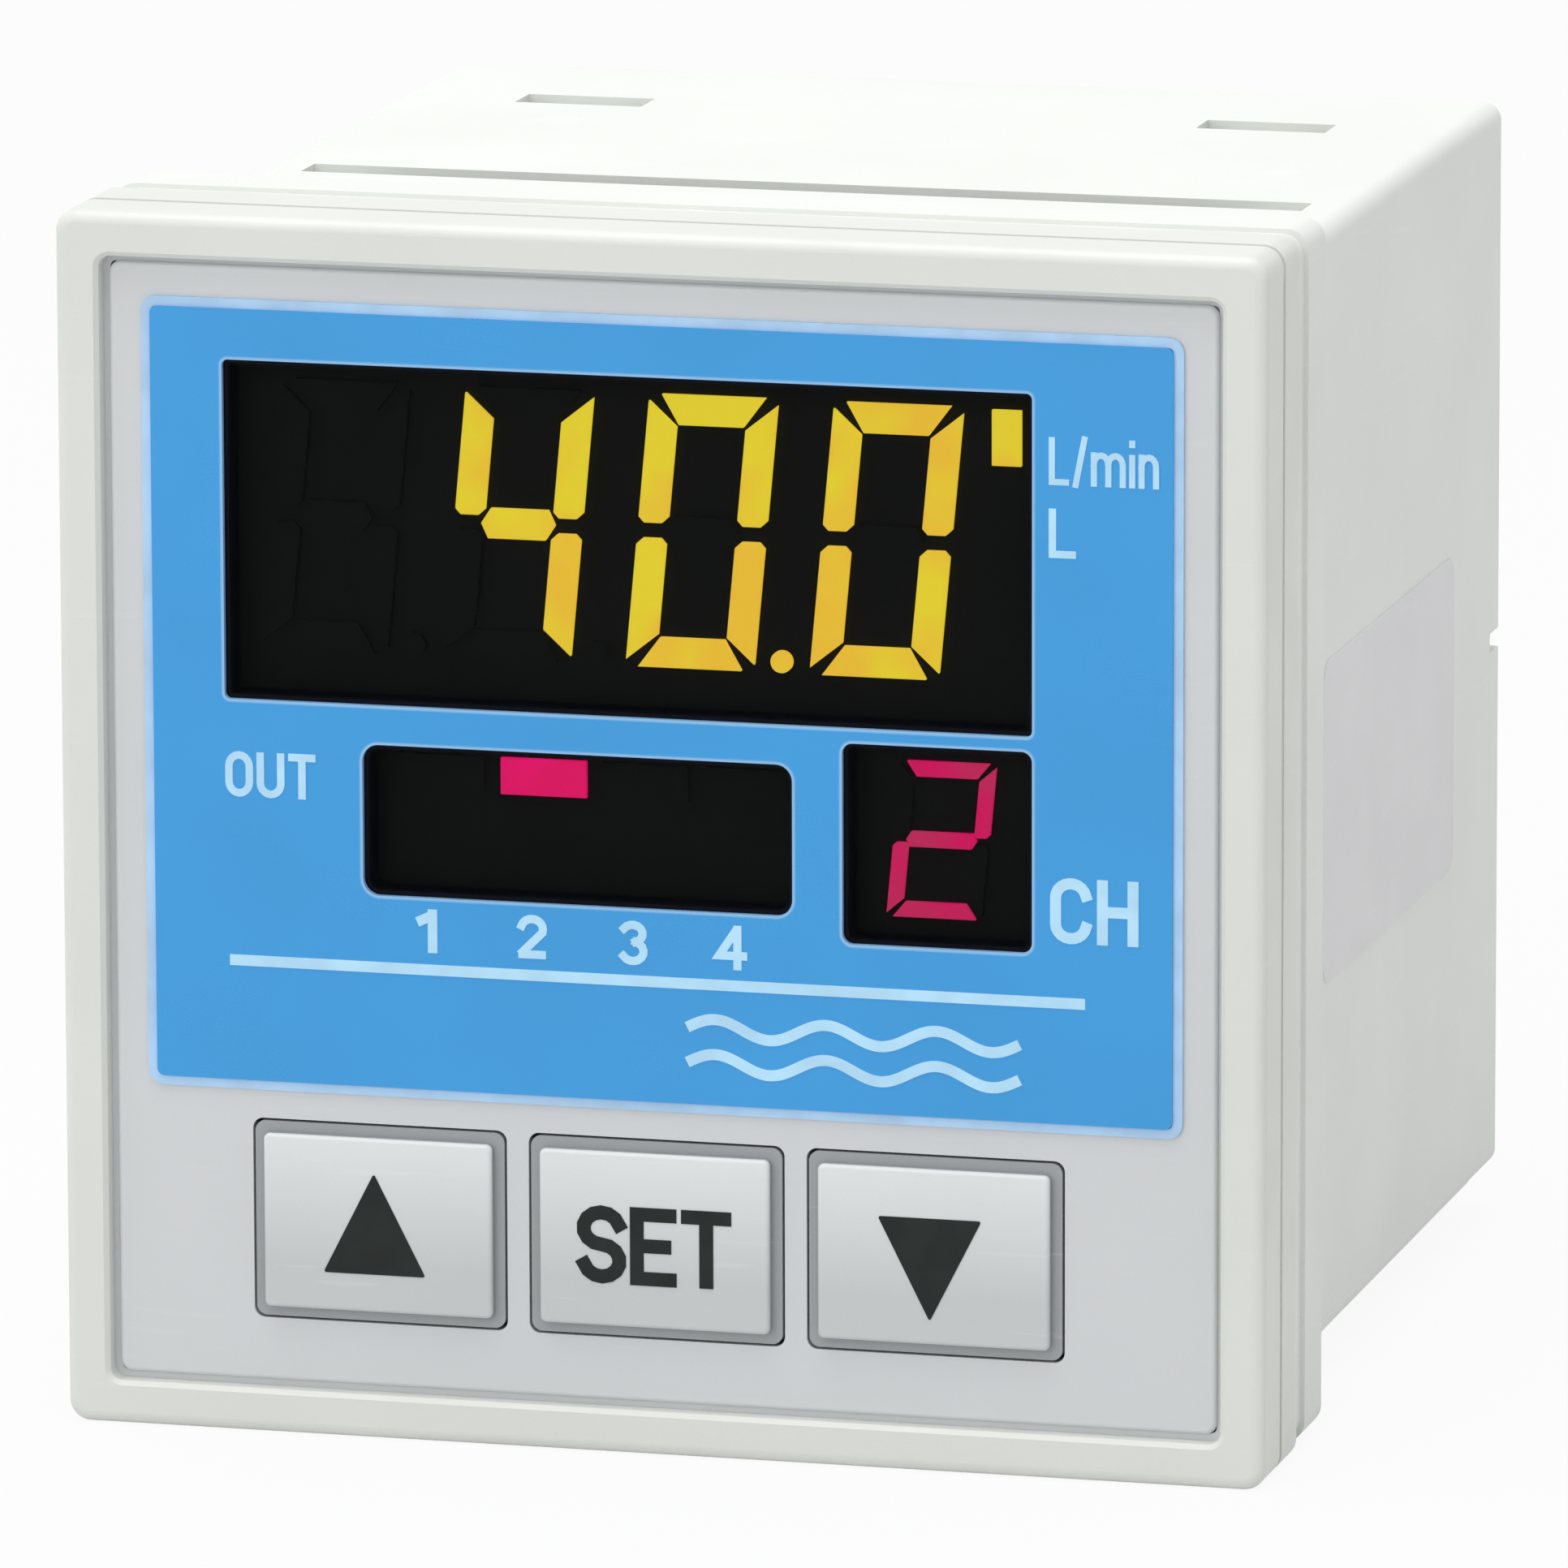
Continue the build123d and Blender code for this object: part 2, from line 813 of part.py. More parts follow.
def make_main_board():
    board = slab(board_size, main_board_thickness, main_board_front, main_board_back, 0, main_board_z)
    for depth in link_leg_depths():
        for offset in link_pin_offsets:
            hole = Pos(offset, depth, main_board_z) * Cylinder(pin_hole_radius, main_board_thickness)
            board -= hole
    return board


def link_leg_depths():
    """Depths of the pins' upright legs, at the middle of each link's block."""
    return main_board_front + link_block_depth / 2, main_board_back - link_block_depth / 2


def make_link_block(rear):
    """Plastic block of a right-angle link, with a square passage for each pin."""
    depth = link_leg_depths()[1 if rear else 0]
    front = depth - link_block_depth / 2
    back = depth + link_block_depth / 2
    block = slab(link_pins * pin_spacing, link_block_height, front, back, 0, link_z)
    for pin in link_pin_shapes(rear, pin_clearance):
        block -= pin
    return block


def link_pin_shapes(rear, extra):
    """L-shaped pins: one leg down through the main board, one through the upright board."""
    leg_depth = link_leg_depths()[1 if rear else 0]
    side = pin_side + 2 * extra
    bottom = main_board_z - main_board_thickness / 2 - link_tail
    if rear:
        ends = (leg_depth - side / 2, connector_board_back + link_tail)
    else:
        ends = (display_board_depth - link_tail, leg_depth + side / 2)
    top = link_z + side / 2
    pins = []
    for offset in link_pin_offsets:
        lying = slab(side, side, ends[0], ends[1], offset, link_z)
        standing = slab(
            side,
            top - bottom,
            leg_depth - side / 2,
            leg_depth + side / 2,
            offset,
            (top + bottom) / 2,
        )
        pins.append(lying + standing)
    return pins


# Chips and capacitors
def make_chip(width, length, height, x):
    """A chip lying on the main board, with a small bevel round its top."""
    chip = Pos(x, main_board_middle, main_board_top + height / 2) * Box(width, length, height)
    return chamfer(chip.faces().sort_by(Axis.Z)[-1].edges(), height / 8)


def make_capacitors():
    solids = []
    for side in (-0.5, 0.5):
        depth = main_board_middle + side * capacitor_spacing
        base = Pos(capacitor_x, depth, main_board_top + capacitor_base / 2) * Box(
            2 * capacitor_radius, 2 * capacitor_radius, capacitor_base
        )
        can_height = capacitor_height - capacitor_base
        middle = main_board_top + capacitor_base + can_height / 2
        can = Pos(capacitor_x, depth, middle) * Cylinder(capacitor_radius, can_height)
        can = fillet(can.faces().sort_by(Axis.Z)[-1].edges(), capacitor_radius / 8)
        solids.append(base + can)
    return group(solids)


def make_display_driver():
    back = display_board_back + driver_height
    chip = slab(driver_side, driver_side, display_board_back, back, display_x, display_z)
    return chamfer(chip.faces().sort_by(Axis.Y)[-1].edges(), driver_height / 8)


# All pieces by name
nodes = {
    "front_frame": make_front_frame(),
    "front_panel": make_front_panel(),
    "face_sheet": make_face_sheet(),
    "display_window": make_display_window(),
    "display_module": make_display_module(),
    "main_digits_lit": make_main_digits(True),
    "main_digits_dark": make_main_digits(False),
    "output_bar_lit": make_output_bars(True),
    "output_bars_dark": make_output_bars(False),
    "channel_digit_lit": make_channel_digit(True),
    "channel_digit_dark": make_channel_digit(False),
    "key_switches": make_key_switches(),
    "display_board": make_display_board(),
    "display_driver": make_display_driver(),
    "front_link_block": make_link_block(False),
    "front_link_pins": group(link_pin_shapes(False, 0)),
    "main_board": make_main_board(),
    "controller_chip": make_chip(controller_side, controller_side, controller_height, 0),
    "supply_regulator": make_chip(regulator_width, regulator_length, regulator_height, regulator_x),
    "supply_capacitors": make_capacitors(),
    "rear_link_block": make_link_block(True),
    "rear_link_pins": group(link_pin_shapes(True, 0)),
    "connector_board": make_connector_board(),
    "housing": make_housing(),
    "rear_cover": make_rear_cover(),
    "sensor_socket_pins": make_sensor_pins(),
    "power_socket": make_socket(
        power_socket_width, power_socket_height, power_pin_offsets, 0, power_socket_z
    ),
    "power_socket_pins": make_power_pins(),
}
for name, x in zip(key_names, key_places):
    nodes[f"{name}_key"] = make_key(x)
    nodes[f"{name}_plunger"] = make_plunger(x)
for number, (x, z) in enumerate(sensor_places, start=1):
    nodes[f"sensor_socket_{number}"] = make_socket(
        sensor_socket_width, sensor_socket_height, sensor_pin_offsets, x, z
    )

# The row frame: origin at the middle of the base
to_row = Pos(0, -total_depth / 2, front_size / 2)
for name, shape in nodes.items():
    export_step(to_row * shape, f"parts/{name}.step")
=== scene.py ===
"""Looks of a panel-mounted digital flow switch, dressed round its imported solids.

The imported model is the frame: +Z is up, the display faces -Y, lengths are in metres. Places on the
front are counted from its middle, in X and Z, and depths from the plane of the front's rim.
"""

import math

import bpy
from mathutils import Matrix, Vector


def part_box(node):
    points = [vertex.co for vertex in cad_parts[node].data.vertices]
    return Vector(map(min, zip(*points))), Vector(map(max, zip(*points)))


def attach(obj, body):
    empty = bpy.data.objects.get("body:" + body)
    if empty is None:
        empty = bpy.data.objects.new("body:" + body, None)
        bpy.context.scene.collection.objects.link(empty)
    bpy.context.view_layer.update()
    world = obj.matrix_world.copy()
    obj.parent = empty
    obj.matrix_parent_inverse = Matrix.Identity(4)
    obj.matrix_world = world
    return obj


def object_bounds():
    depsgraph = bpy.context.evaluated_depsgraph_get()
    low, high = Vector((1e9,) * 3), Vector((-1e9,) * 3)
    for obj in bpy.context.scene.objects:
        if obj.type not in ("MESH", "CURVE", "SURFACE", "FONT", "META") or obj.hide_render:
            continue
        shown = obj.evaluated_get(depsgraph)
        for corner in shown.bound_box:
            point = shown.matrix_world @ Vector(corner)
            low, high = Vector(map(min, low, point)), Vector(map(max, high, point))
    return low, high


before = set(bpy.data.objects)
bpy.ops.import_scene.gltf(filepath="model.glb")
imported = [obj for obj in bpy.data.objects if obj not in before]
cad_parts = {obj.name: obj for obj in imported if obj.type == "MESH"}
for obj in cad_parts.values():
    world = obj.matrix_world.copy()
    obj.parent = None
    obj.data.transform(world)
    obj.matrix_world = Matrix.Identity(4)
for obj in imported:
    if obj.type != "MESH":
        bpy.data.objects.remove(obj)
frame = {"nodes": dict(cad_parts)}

bl_info = {
    "name": "Digital flow switch",
    "version": (1, 0, 0),
    "blender": (4, 5, 0),
    "location": "View3D > Sidebar > Flow switch",
    "description": "Finishes, prints and lights a panel-mounted digital flow switch",
    "category": "Object",
}

MM = 0.001
CAD_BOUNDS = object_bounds()

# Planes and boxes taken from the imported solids
FRONT_LOW, FRONT_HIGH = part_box("front_frame")
SHEET_LOW, SHEET_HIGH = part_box("face_sheet")
PANEL_LOW, PANEL_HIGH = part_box("front_panel")
COVER_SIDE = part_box("rear_cover")[1].x
FRONT_MIDDLE = Vector(
    ((FRONT_LOW.x + FRONT_HIGH.x) / 2, FRONT_LOW.y, (FRONT_LOW.z + FRONT_HIGH.z) / 2)
)


def on_front(x, z, depth=0.0):
    """A place on the front, from millimetres about its middle and behind its rim."""
    return FRONT_MIDDLE + Vector((x, depth, z)) * MM


# Sizes and colours that a user would change
def colour_setting(name, description, default):
    return bpy.props.FloatVectorProperty(
        name=name, description=description, default=default, subtype="COLOR", min=0, max=1)


def print_size(name, description, default, low, high):
    """A small length with its default and limits in millimetres."""
    return bpy.props.FloatProperty(
        name=name, description=description, default=default * MM, min=low * MM, max=high * MM,
        unit="LENGTH", precision=5)


class FlowColours(bpy.types.PropertyGroup):
    frame: colour_setting(
        "Front frame", "Plastic of the front frame",
        (0.722, 0.738, 0.698))
    case: colour_setting(
        "Case", "Plastic of the housing and rear cover",
        (0.800, 0.826, 0.790))
    panel: colour_setting(
        "Front panel", "Plastic of the inset front panel",
        (0.640, 0.655, 0.668))
    key: colour_setting(
        "Keys", "Plastic of the three keys",
        (0.740, 0.768, 0.770))
    # Grey colour on the low step round each key, darker than the key's face
    key_outline: colour_setting(
        "Key outline", "Grey print on the low step round each key",
        (0.340, 0.352, 0.365))
    sheet: colour_setting(
        "Printed sheet", "Blue of the sheet round the display",
        (0.046, 0.333, 0.725))
    # Painted highlight along the sheet's edges: a pale rim round it and a pale line at its cut-outs
    sheet_border: colour_setting(
        "Sheet border", "Pale margin of the sheet",
        (0.440, 0.650, 0.880))
    pale_ink: colour_setting(
        "Pale ink", "Ink of the marks on the sheet",
        (0.470, 0.750, 0.960))
    dark_ink: colour_setting(
        "Dark ink", "Ink of the marks on the keys",
        (0.018, 0.022, 0.021))
    digits: colour_setting(
        "Digits", "Light of the main digits",
        (0.790, 0.635, 0.025))
    channel: colour_setting(
        "Output and channel", "Light of the output bar and the channel digit",
        (0.640, 0.000, 0.105))


class FlowPrint(bpy.types.PropertyGroup):
    ink_height: print_size("Ink height", "How far ink stands on its ground", 0.02, 0.005, 0.1)
    ink_root: print_size("Ink root", "How far ink reaches into its ground", 0.01, 0.002, 0.05)
    # Width of the pale rim round the sheet, a painted highlight of its edge
    border_width: print_size("Border width", "Pale margin round the sheet", 0.32, 0.1, 1.0)
    line_width: print_size("Line width", "Thickness of the line under the display", 0.36, 0.1, 1.0)
    plate_thickness: print_size(
        "Plate thickness", "Thickness of the bare plate on the side", 0.06, 0.02, 0.2)


class FlowStudio(bpy.types.PropertyGroup):
    camera_yaw: bpy.props.FloatProperty(
        name="Camera yaw", description="Camera's turn to the right of the front",
        default=math.radians(14.778), subtype="ANGLE")
    camera_pitch: bpy.props.FloatProperty(
        name="Camera pitch", description="Camera's height above the horizon",
        default=math.radians(11.431), subtype="ANGLE")
    camera_roll: bpy.props.FloatProperty(
        name="Camera roll", description="Camera's tilt about its own axis",
        default=math.radians(-0.165), subtype="ANGLE")
    camera_distance: bpy.props.FloatProperty(
        name="Camera distance", description="From the camera to its target",
        default=511.5 * MM, unit="LENGTH")
    target_right: bpy.props.FloatProperty(
        name="Target right", description="Target's place to the right of the front's middle",
        default=4.078 * MM, unit="LENGTH", precision=5)
    target_up: bpy.props.FloatProperty(
        name="Target up", description="Target's place above the front's middle",
        default=2.102 * MM, unit="LENGTH", precision=5)
    lens: bpy.props.FloatProperty(
        name="Lens", description="Focal length of the camera, in millimetres",
        default=366.55, min=20, max=1000, unit="CAMERA")
    sky_light: bpy.props.FloatProperty(
        name="Sky light", description="Even light from all sides", default=0.64, min=0, max=2)
    top_lamp: bpy.props.FloatProperty(
        name="Top lamp", description="Power of the soft lamp above, in watts",
        default=2.15, min=0, max=50, unit="POWER")
    front_lamp: bpy.props.FloatProperty(
        name="Front lamp", description="Power of the soft lamp in front, in watts",
        default=1.0, min=0, max=50, unit="POWER")


# Small helpers for objects
def deselect():
    """Leaves edit mode, and leaves nothing selected."""
    if bpy.context.mode != "OBJECT":
        bpy.ops.object.mode_set(mode="OBJECT")
    bpy.ops.object.select_all(action="DESELECT")


def settle(obj, name, body, material):
    """Puts a finished piece's place into its mesh, names it, and lets it ride on its body."""
    deselect()
    obj.select_set(True)
    bpy.context.view_layer.objects.active = obj
    bpy.ops.object.transform_apply(location=True, rotation=True, scale=True)
    obj.name = name
    obj.data.name = name
    obj.data.materials.clear()
    obj.data.materials.append(material)
    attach(obj, body)
    return obj


def join(objects):
    """Makes one piece of several."""
    deselect()
    for obj in objects:
        obj.select_set(True)
    bpy.context.view_layer.objects.active = objects[0]
    bpy.ops.object.join()
    return bpy.context.view_layer.objects.active


def plate(width, height, thickness, corner, segments=5):
    """A thin plate that faces -Y with its back on Y = 0 and its four corners rounded."""
    deselect()
    bpy.ops.mesh.primitive_cube_add(
        size=1, location=(0, -thickness / 2, 0), scale=(width, thickness, height))
    obj = bpy.context.active_object
    bpy.ops.object.transform_apply(location=True, rotation=True, scale=True)
    bpy.ops.object.mode_set(mode="EDIT")
    bpy.ops.mesh.select_mode(type="EDGE")
    bpy.ops.mesh.select_all(action="DESELECT")
    bpy.ops.object.mode_set(mode="OBJECT")
    for edge in obj.data.edges:
        a, b = (obj.data.vertices[index].co for index in edge.vertices)
        edge.select = abs((a - b).y) > thickness / 2
    bpy.ops.object.mode_set(mode="EDIT")
    bpy.ops.mesh.bevel(offset=corner, segments=segments, affect="EDGES")
    bpy.ops.object.mode_set(mode="OBJECT")
    return obj


# A face whose normal has more than this along Y looks forwards or backwards
FACES_FRONT = 0.9


def select_faces(obj, keep):
    """Selects only the faces whose normal passes the test, and opens edit mode on them."""
    bpy.ops.object.mode_set(mode="EDIT")
    bpy.ops.mesh.select_mode(type="FACE")
    bpy.ops.mesh.select_all(action="DESELECT")
    bpy.ops.object.mode_set(mode="OBJECT")
    for face in obj.data.polygons:
        face.select = keep(face.normal)
    bpy.ops.object.mode_set(mode="EDIT")


def window_in_plate(obj, margin):
    """Cuts the middle out of a plate, and leaves a rim of this width."""
    select_faces(obj, lambda normal: abs(normal.y) > FACES_FRONT)
    bpy.ops.mesh.inset(thickness=margin, depth=0)
    bpy.ops.mesh.bridge_edge_loops()
    bpy.ops.mesh.select_all(action="SELECT")
    bpy.ops.mesh.normals_make_consistent(inside=False)
    bpy.ops.object.mode_set(mode="OBJECT")
    return obj


# Crossing strokes differ in level by this, so that no two of their faces coincide
STROKE_LEVEL = 0.002 * MM
# Points of a stroke that are nearer than this are one
MERGE_DISTANCE = 0.002 * MM


def stroke_mark(strokes, width, depth, print_sizes):
    """Raised ink along strokes, each a list of places (x, z) on the front in millimetres.

    A point is pushed along each stroke, the line is drawn out to the ink's height, and a wall of
    the stroke's width is put on it.
    """
    deselect()
    bpy.ops.mesh.primitive_plane_add(size=MM)
    mark = bpy.context.active_object
    bpy.ops.object.mode_set(mode="EDIT")
    bpy.ops.mesh.select_mode(type="VERT")
    bpy.ops.mesh.delete(type="VERT")
    height = print_sizes.ink_height + print_sizes.ink_root
    for number, stroke in enumerate(strokes):
        root = Vector((0, print_sizes.ink_root - number * STROKE_LEVEL, 0))
        places = [on_front(x, z, depth) + root for x, z in stroke]
        bpy.ops.mesh.select_all(action="DESELECT")
        bpy.ops.mesh.primitive_plane_add(size=MM, location=places[0])
        bpy.ops.mesh.merge(type="CENTER")
        for before, after in zip(places, places[1:]):
            bpy.ops.mesh.extrude_vertices_move(TRANSFORM_OT_translate={"value": after - before})
    bpy.ops.mesh.select_all(action="SELECT")
    bpy.ops.mesh.remove_doubles(threshold=MERGE_DISTANCE)
    bpy.ops.mesh.extrude_region_move(TRANSFORM_OT_translate={"value": (0, -height, 0)})
    bpy.ops.object.mode_set(mode="OBJECT")
    wall = mark.modifiers.new("Stroke", "SOLIDIFY")
    wall.thickness = width * MM
    wall.offset = 0
    wall.use_even_offset = True
    bpy.ops.object.modifier_apply(modifier=wall.name)
    bpy.ops.object.mode_set(mode="EDIT")
    bpy.ops.mesh.select_all(action="SELECT")
    bpy.ops.mesh.normals_make_consistent(inside=False)
    bpy.ops.object.mode_set(mode="OBJECT")
    return mark


def arc(x, z, half_width, half_height, start, end, steps=10):
    """Places along part of an ellipse, with its start and end in degrees."""
    places = []
    for step in range(steps + 1):
        angle = math.radians(start + (end - start) * step / steps)
        places.append((x + half_width * math.cos(angle), z + half_height * math.sin(angle)))
    return places


# Space between letters, in the same unit as their widths
LETTER_GAP = 0.30
# Share of a stroke's width by which its ends are drawn on
END_REACH = 0.46
# Plain upright letters and figures: each has its width, and strokes in a box one unit high
LETTERS = {
    "1": (0.22, [[(0, 0.80), (0.18, 0.93)], [(0.22, 1), (0.22, 0)]]),
    "2": (0.52, [arc(0.26, 0.72, 0.26, 0.28, 165, -20) + [(0.03, 0.06)], [(0.02, 0), (0.50, 0)]]),
    "3": (0.50, [arc(0.24, 0.76, 0.24, 0.24, 150, -75), arc(0.24, 0.27, 0.26, 0.27, 75, -150)]),
    "4": (0.56, [[(0.42, 0), (0.42, 1)], [(0.36, 0.92), (0, 0.28), (0.56, 0.28)]]),
    "C": (0.56, [arc(0.28, 0.74, 0.28, 0.26, 10, 180) + arc(0.28, 0.26, 0.28, 0.26, 180, 350)]),
    "E": (0.50, [[(0.50, 1), (0, 1), (0, 0), (0.50, 0)], [(0.04, 0.51), (0.42, 0.51)]]),
    "H": (0.56, [[(0, 0), (0, 1)], [(0.56, 0), (0.56, 1)], [(0.04, 0.51), (0.52, 0.51)]]),
    "L": (0.46, [[(0, 1), (0, 0), (0.46, 0)]]),
    "O": (0.56, [
        arc(0.28, 0.70, 0.28, 0.30, 0, 180) + arc(0.28, 0.30, 0.28, 0.30, 180, 360)
        + [(0.56, 0.70)]]),
    "S": (0.54, [arc(0.27, 0.75, 0.27, 0.25, 15, 270) + arc(0.27, 0.25, 0.27, 0.25, 90, -165)[1:]]),
    "T": (0.56, [[(0, 1), (0.56, 1)], [(0.28, 0.96), (0.28, 0)]]),
    "U": (0.56, [[(0, 1)] + arc(0.28, 0.28, 0.28, 0.28, 180, 360) + [(0.56, 1)]]),
    "i": (0.0, [[(0, 0), (0, 0.66)], [(0, 0.96), (0, 1.0)]]),
    "m": (0.92, [
        [(0, 0), (0, 0.68)], arc(0.23, 0.46, 0.23, 0.22, 180, 0, 8) + [(0.46, 0)],
        arc(0.69, 0.46, 0.23, 0.22, 170, 0, 8) + [(0.92, 0)]]),
    "n": (0.46, [[(0, 0), (0, 0.68)], arc(0.23, 0.46, 0.23, 0.22, 180, 0, 8) + [(0.46, 0)]]),
    "/": (0.28, [[(0, -0.05), (0.28, 1.05)]]),
}


def square_ends(points, reach):
    """An open stroke drawn on by this much at both ends; a closed one stays as it is."""
    if (Vector(points[0]) - Vector(points[-1])).length < 1e-6:
        return points
    ends = []
    for end, inner in ((points[0], points[1]), (points[-1], points[-2])):
        step = Vector(end) - Vector(inner)
        ends.append(tuple(Vector(end) + step.normalized() * reach))
    return [ends[0], *points[1:-1], ends[1]]


def lettering(text, left, right, bottom, top, stroke, gap=LETTER_GAP):
    """Strokes of a line of letters that fills a box on the front, in millimetres."""
    widths = [LETTERS[letter][0] for letter in text]
    total = sum(widths) + gap * (len(text) - 1)
    across = (right - left - stroke) / total
    along = top - bottom - stroke
    strokes = []
    x = left + stroke / 2
    for letter, width in zip(text, widths):
        for points in LETTERS[letter][1]:
            placed = [(x + px * across, bottom + stroke / 2 + pz * along) for px, pz in points]
            strokes.append(square_ends(placed, stroke * END_REACH))
        x += (width + gap) * across
    return strokes


# Small helpers for materials
def new_material(name):
    """A fresh node material, with its shader and the piece's own coordinates."""
    material = bpy.data.materials.new(name)
    material.use_nodes = True
    tree = material.node_tree
    shader = tree.nodes["Principled BSDF"]
    place = tree.nodes.new("ShaderNodeTexCoord").outputs["Object"]
    return material, tree, shader, place


def add_node(tree, kind, inputs=None, **settings):
    """A node with its settings, and inputs that are values or other nodes' outputs."""
    node = tree.nodes.new(kind)
    for name, value in settings.items():
        setattr(node, name, value)
    for name, value in (inputs or {}).items():
        if isinstance(value, bpy.types.NodeSocket):
            tree.links.new(value, node.inputs[name])
        else:
            node.inputs[name].default_value = value
    return node


def maths(tree, operation, first, second=0.0, third=0.0, clamp=False):
    values = {0: first, 1: second, 2: third}
    node = add_node(tree, "ShaderNodeMath", values, operation=operation, use_clamp=clamp)
    return node.outputs[0]


def vector_maths(tree, operation, *values):
    inputs = dict(enumerate(values))
    return add_node(tree, "ShaderNodeVectorMath", inputs, operation=operation).outputs[0]


def mix_colours(tree, factor, first, second):
    """Colours that run from the first to the second as the factor rises."""
    node = tree.nodes.new("ShaderNodeMix")
    node.data_type = "RGBA"
    for index, value in ((0, factor), (6, first), (7, second)):
        socket = node.inputs[index]
        if isinstance(value, bpy.types.NodeSocket):
            tree.links.new(value, socket)
        elif hasattr(value, "__len__"):
            socket.default_value = (*value[:3], 1)
        else:
            socket.default_value = value
    return node.outputs[2]


def span(tree, value, from_low, from_high, to_low=0.0, to_high=1.0):
    """A value that runs between the second limits as the given one runs between the first."""
    inputs = {
        "Value": value, "From Min": from_low, "From Max": from_high,
        "To Min": to_low, "To Max": to_high}
    return add_node(tree, "ShaderNodeMapRange", inputs).outputs[0]


def new_group(name, inputs, outputs):
    """An empty shader node group with named sockets, given as (name, kind, default)."""
    group = bpy.data.node_groups.new(name, "ShaderNodeTree")
    for title, kind, default in inputs:
        socket = group.interface.new_socket(name=title, in_out="INPUT", socket_type=kind)
        if default is not None:
            socket.default_value = default
    for title, kind in outputs:
        group.interface.new_socket(name=title, in_out="OUTPUT", socket_type=kind)
    return group, group.nodes.new("NodeGroupInput"), group.nodes.new("NodeGroupOutput")


def use_group(tree, name, inputs):
    """The outputs of a shared effect, placed in a material with its own values."""
    group = bpy.data.node_groups[name]
    return add_node(tree, "ShaderNodeGroup", inputs, node_tree=group).outputs


def feed(shader, name, value):
    """Leads a value that changes over the surface into a socket of the shader."""
    shader.id_data.links.new(value, shader.inputs[name])


# Effects that several finishes share
VECTOR, NUMBER = "NodeSocketVector", "NodeSocketFloat"


def build_moulded_grain():
    """Fine spark-eroded grain and slow drifts of tone, both centred on 0.5."""
    group, start, end = new_group(
        "Moulded grain",
        [("Vector", VECTOR, None), ("Grain size", NUMBER, 0.12 * MM),
         ("Drift size", NUMBER, 9 * MM)],
        [("Grain", NUMBER), ("Drift", NUMBER)],
    )
    for output, size, detail in (("Grain", "Grain size", 3.0), ("Drift", "Drift size", 2.0)):
        scale = maths(group, "DIVIDE", 1.0, start.outputs[size])
        noise = add_node(group, "ShaderNodeTexNoise", {
            "Vector": start.outputs["Vector"], "Scale": scale, "Detail": detail,
            "Roughness": 0.55})
        group.links.new(noise.outputs[0], end.inputs[output])


def build_edge_band():
    """A mask that is 1 along the edges of an upright box, and 0 away from them."""
    group, start, end = new_group(
        "Edge band",
        [("Vector", VECTOR, None), ("Low", VECTOR, None), ("High", VECTOR, None),
         ("Width", NUMBER, 0.3 * MM)],
        [("Mask", NUMBER)],
    )
    place = start.outputs["Vector"]
    from_low = vector_maths(group, "SUBTRACT", place, start.outputs["Low"])
    from_high = vector_maths(group, "SUBTRACT", start.outputs["High"], place)
    nearest = vector_maths(group, "MINIMUM", from_low, from_high)
    parts = add_node(group, "ShaderNodeSeparateXYZ", {0: nearest})
    x, y, z = (maths(group, "ABSOLUTE", parts.outputs[index]) for index in range(3))
    smallest = maths(group, "MINIMUM", maths(group, "MINIMUM", x, y), z)
    largest = maths(group, "MAXIMUM", maths(group, "MAXIMUM", x, y), z)
    total = maths(group, "ADD", maths(group, "ADD", x, y), z)
    second = maths(group, "SUBTRACT", maths(group, "SUBTRACT", total, smallest), largest)
    share = maths(group, "DIVIDE", second, start.outputs["Width"])
    mask = maths(group, "SUBTRACT", 1.0, share, clamp=True)
    group.links.new(mask, end.inputs["Mask"])


def build_rounded_outline():
    """Distance from the outline of an upright rounded rectangle, in X and Z, negative inside."""
    group, start, end = new_group(
        "Rounded outline",
        [("Vector", VECTOR, None), ("Middle", VECTOR, None),
         ("Half size", VECTOR, None), ("Corner", NUMBER, 0.5 * MM)],
        [("Distance", NUMBER)],
    )
    offset = vector_maths(group, "SUBTRACT", start.outputs["Vector"], start.outputs["Middle"])
    folded = vector_maths(group, "ABSOLUTE", offset)
    past = vector_maths(group, "SUBTRACT", folded, start.outputs["Half size"])
    parts = add_node(group, "ShaderNodeSeparateXYZ", {0: past})
    corner = start.outputs["Corner"]
    x = maths(group, "ADD", parts.outputs[0], corner)
    z = maths(group, "ADD", parts.outputs[2], corner)
    inside = maths(group, "MINIMUM", maths(group, "MAXIMUM", x, z), 0.0)
    outer_x = maths(group, "MAXIMUM", x, 0.0)
    outer_z = maths(group, "MAXIMUM", z, 0.0)
    square_x = maths(group, "MULTIPLY", outer_x, outer_x)
    square_z = maths(group, "MULTIPLY", outer_z, outer_z)
    length = maths(group, "SQRT", maths(group, "ADD", square_x, square_z))
    distance = maths(group, "SUBTRACT", maths(group, "ADD", length, inside), corner)
    group.links.new(distance, end.inputs["Distance"])


def build_handling_marks():
    """Faint rubbed patches that change the gloss, with a few long fine scratches."""
    group, start, end = new_group(
        "Handling marks",
        [("Vector", VECTOR, None), ("Size", NUMBER, 4 * MM)],
        [("Rub", NUMBER), ("Scratch", NUMBER)],
    )
    scale = maths(group, "DIVIDE", 1.0, start.outputs["Size"])
    rub = add_node(
        group, "ShaderNodeTexNoise",
        {"Vector": start.outputs["Vector"], "Scale": scale, "Detail": 5.0, "Distortion": 0.6})
    group.links.new(span(group, rub.outputs[0], 0.42, 0.68), end.inputs["Rub"])
    turned = add_node(
        group, "ShaderNodeMapping",
        {"Vector": start.outputs["Vector"], "Rotation": (0.3, 0.5, 0.7), "Scale": (1.0, 1.0, 14.0)})
    lines = add_node(
        group, "ShaderNodeTexNoise",
        {"Vector": turned.outputs[0], "Scale": scale, "Detail": 1.0, "Distortion": 0.2})
    group.links.new(span(group, lines.outputs[0], 0.70, 0.74), end.inputs["Scratch"])


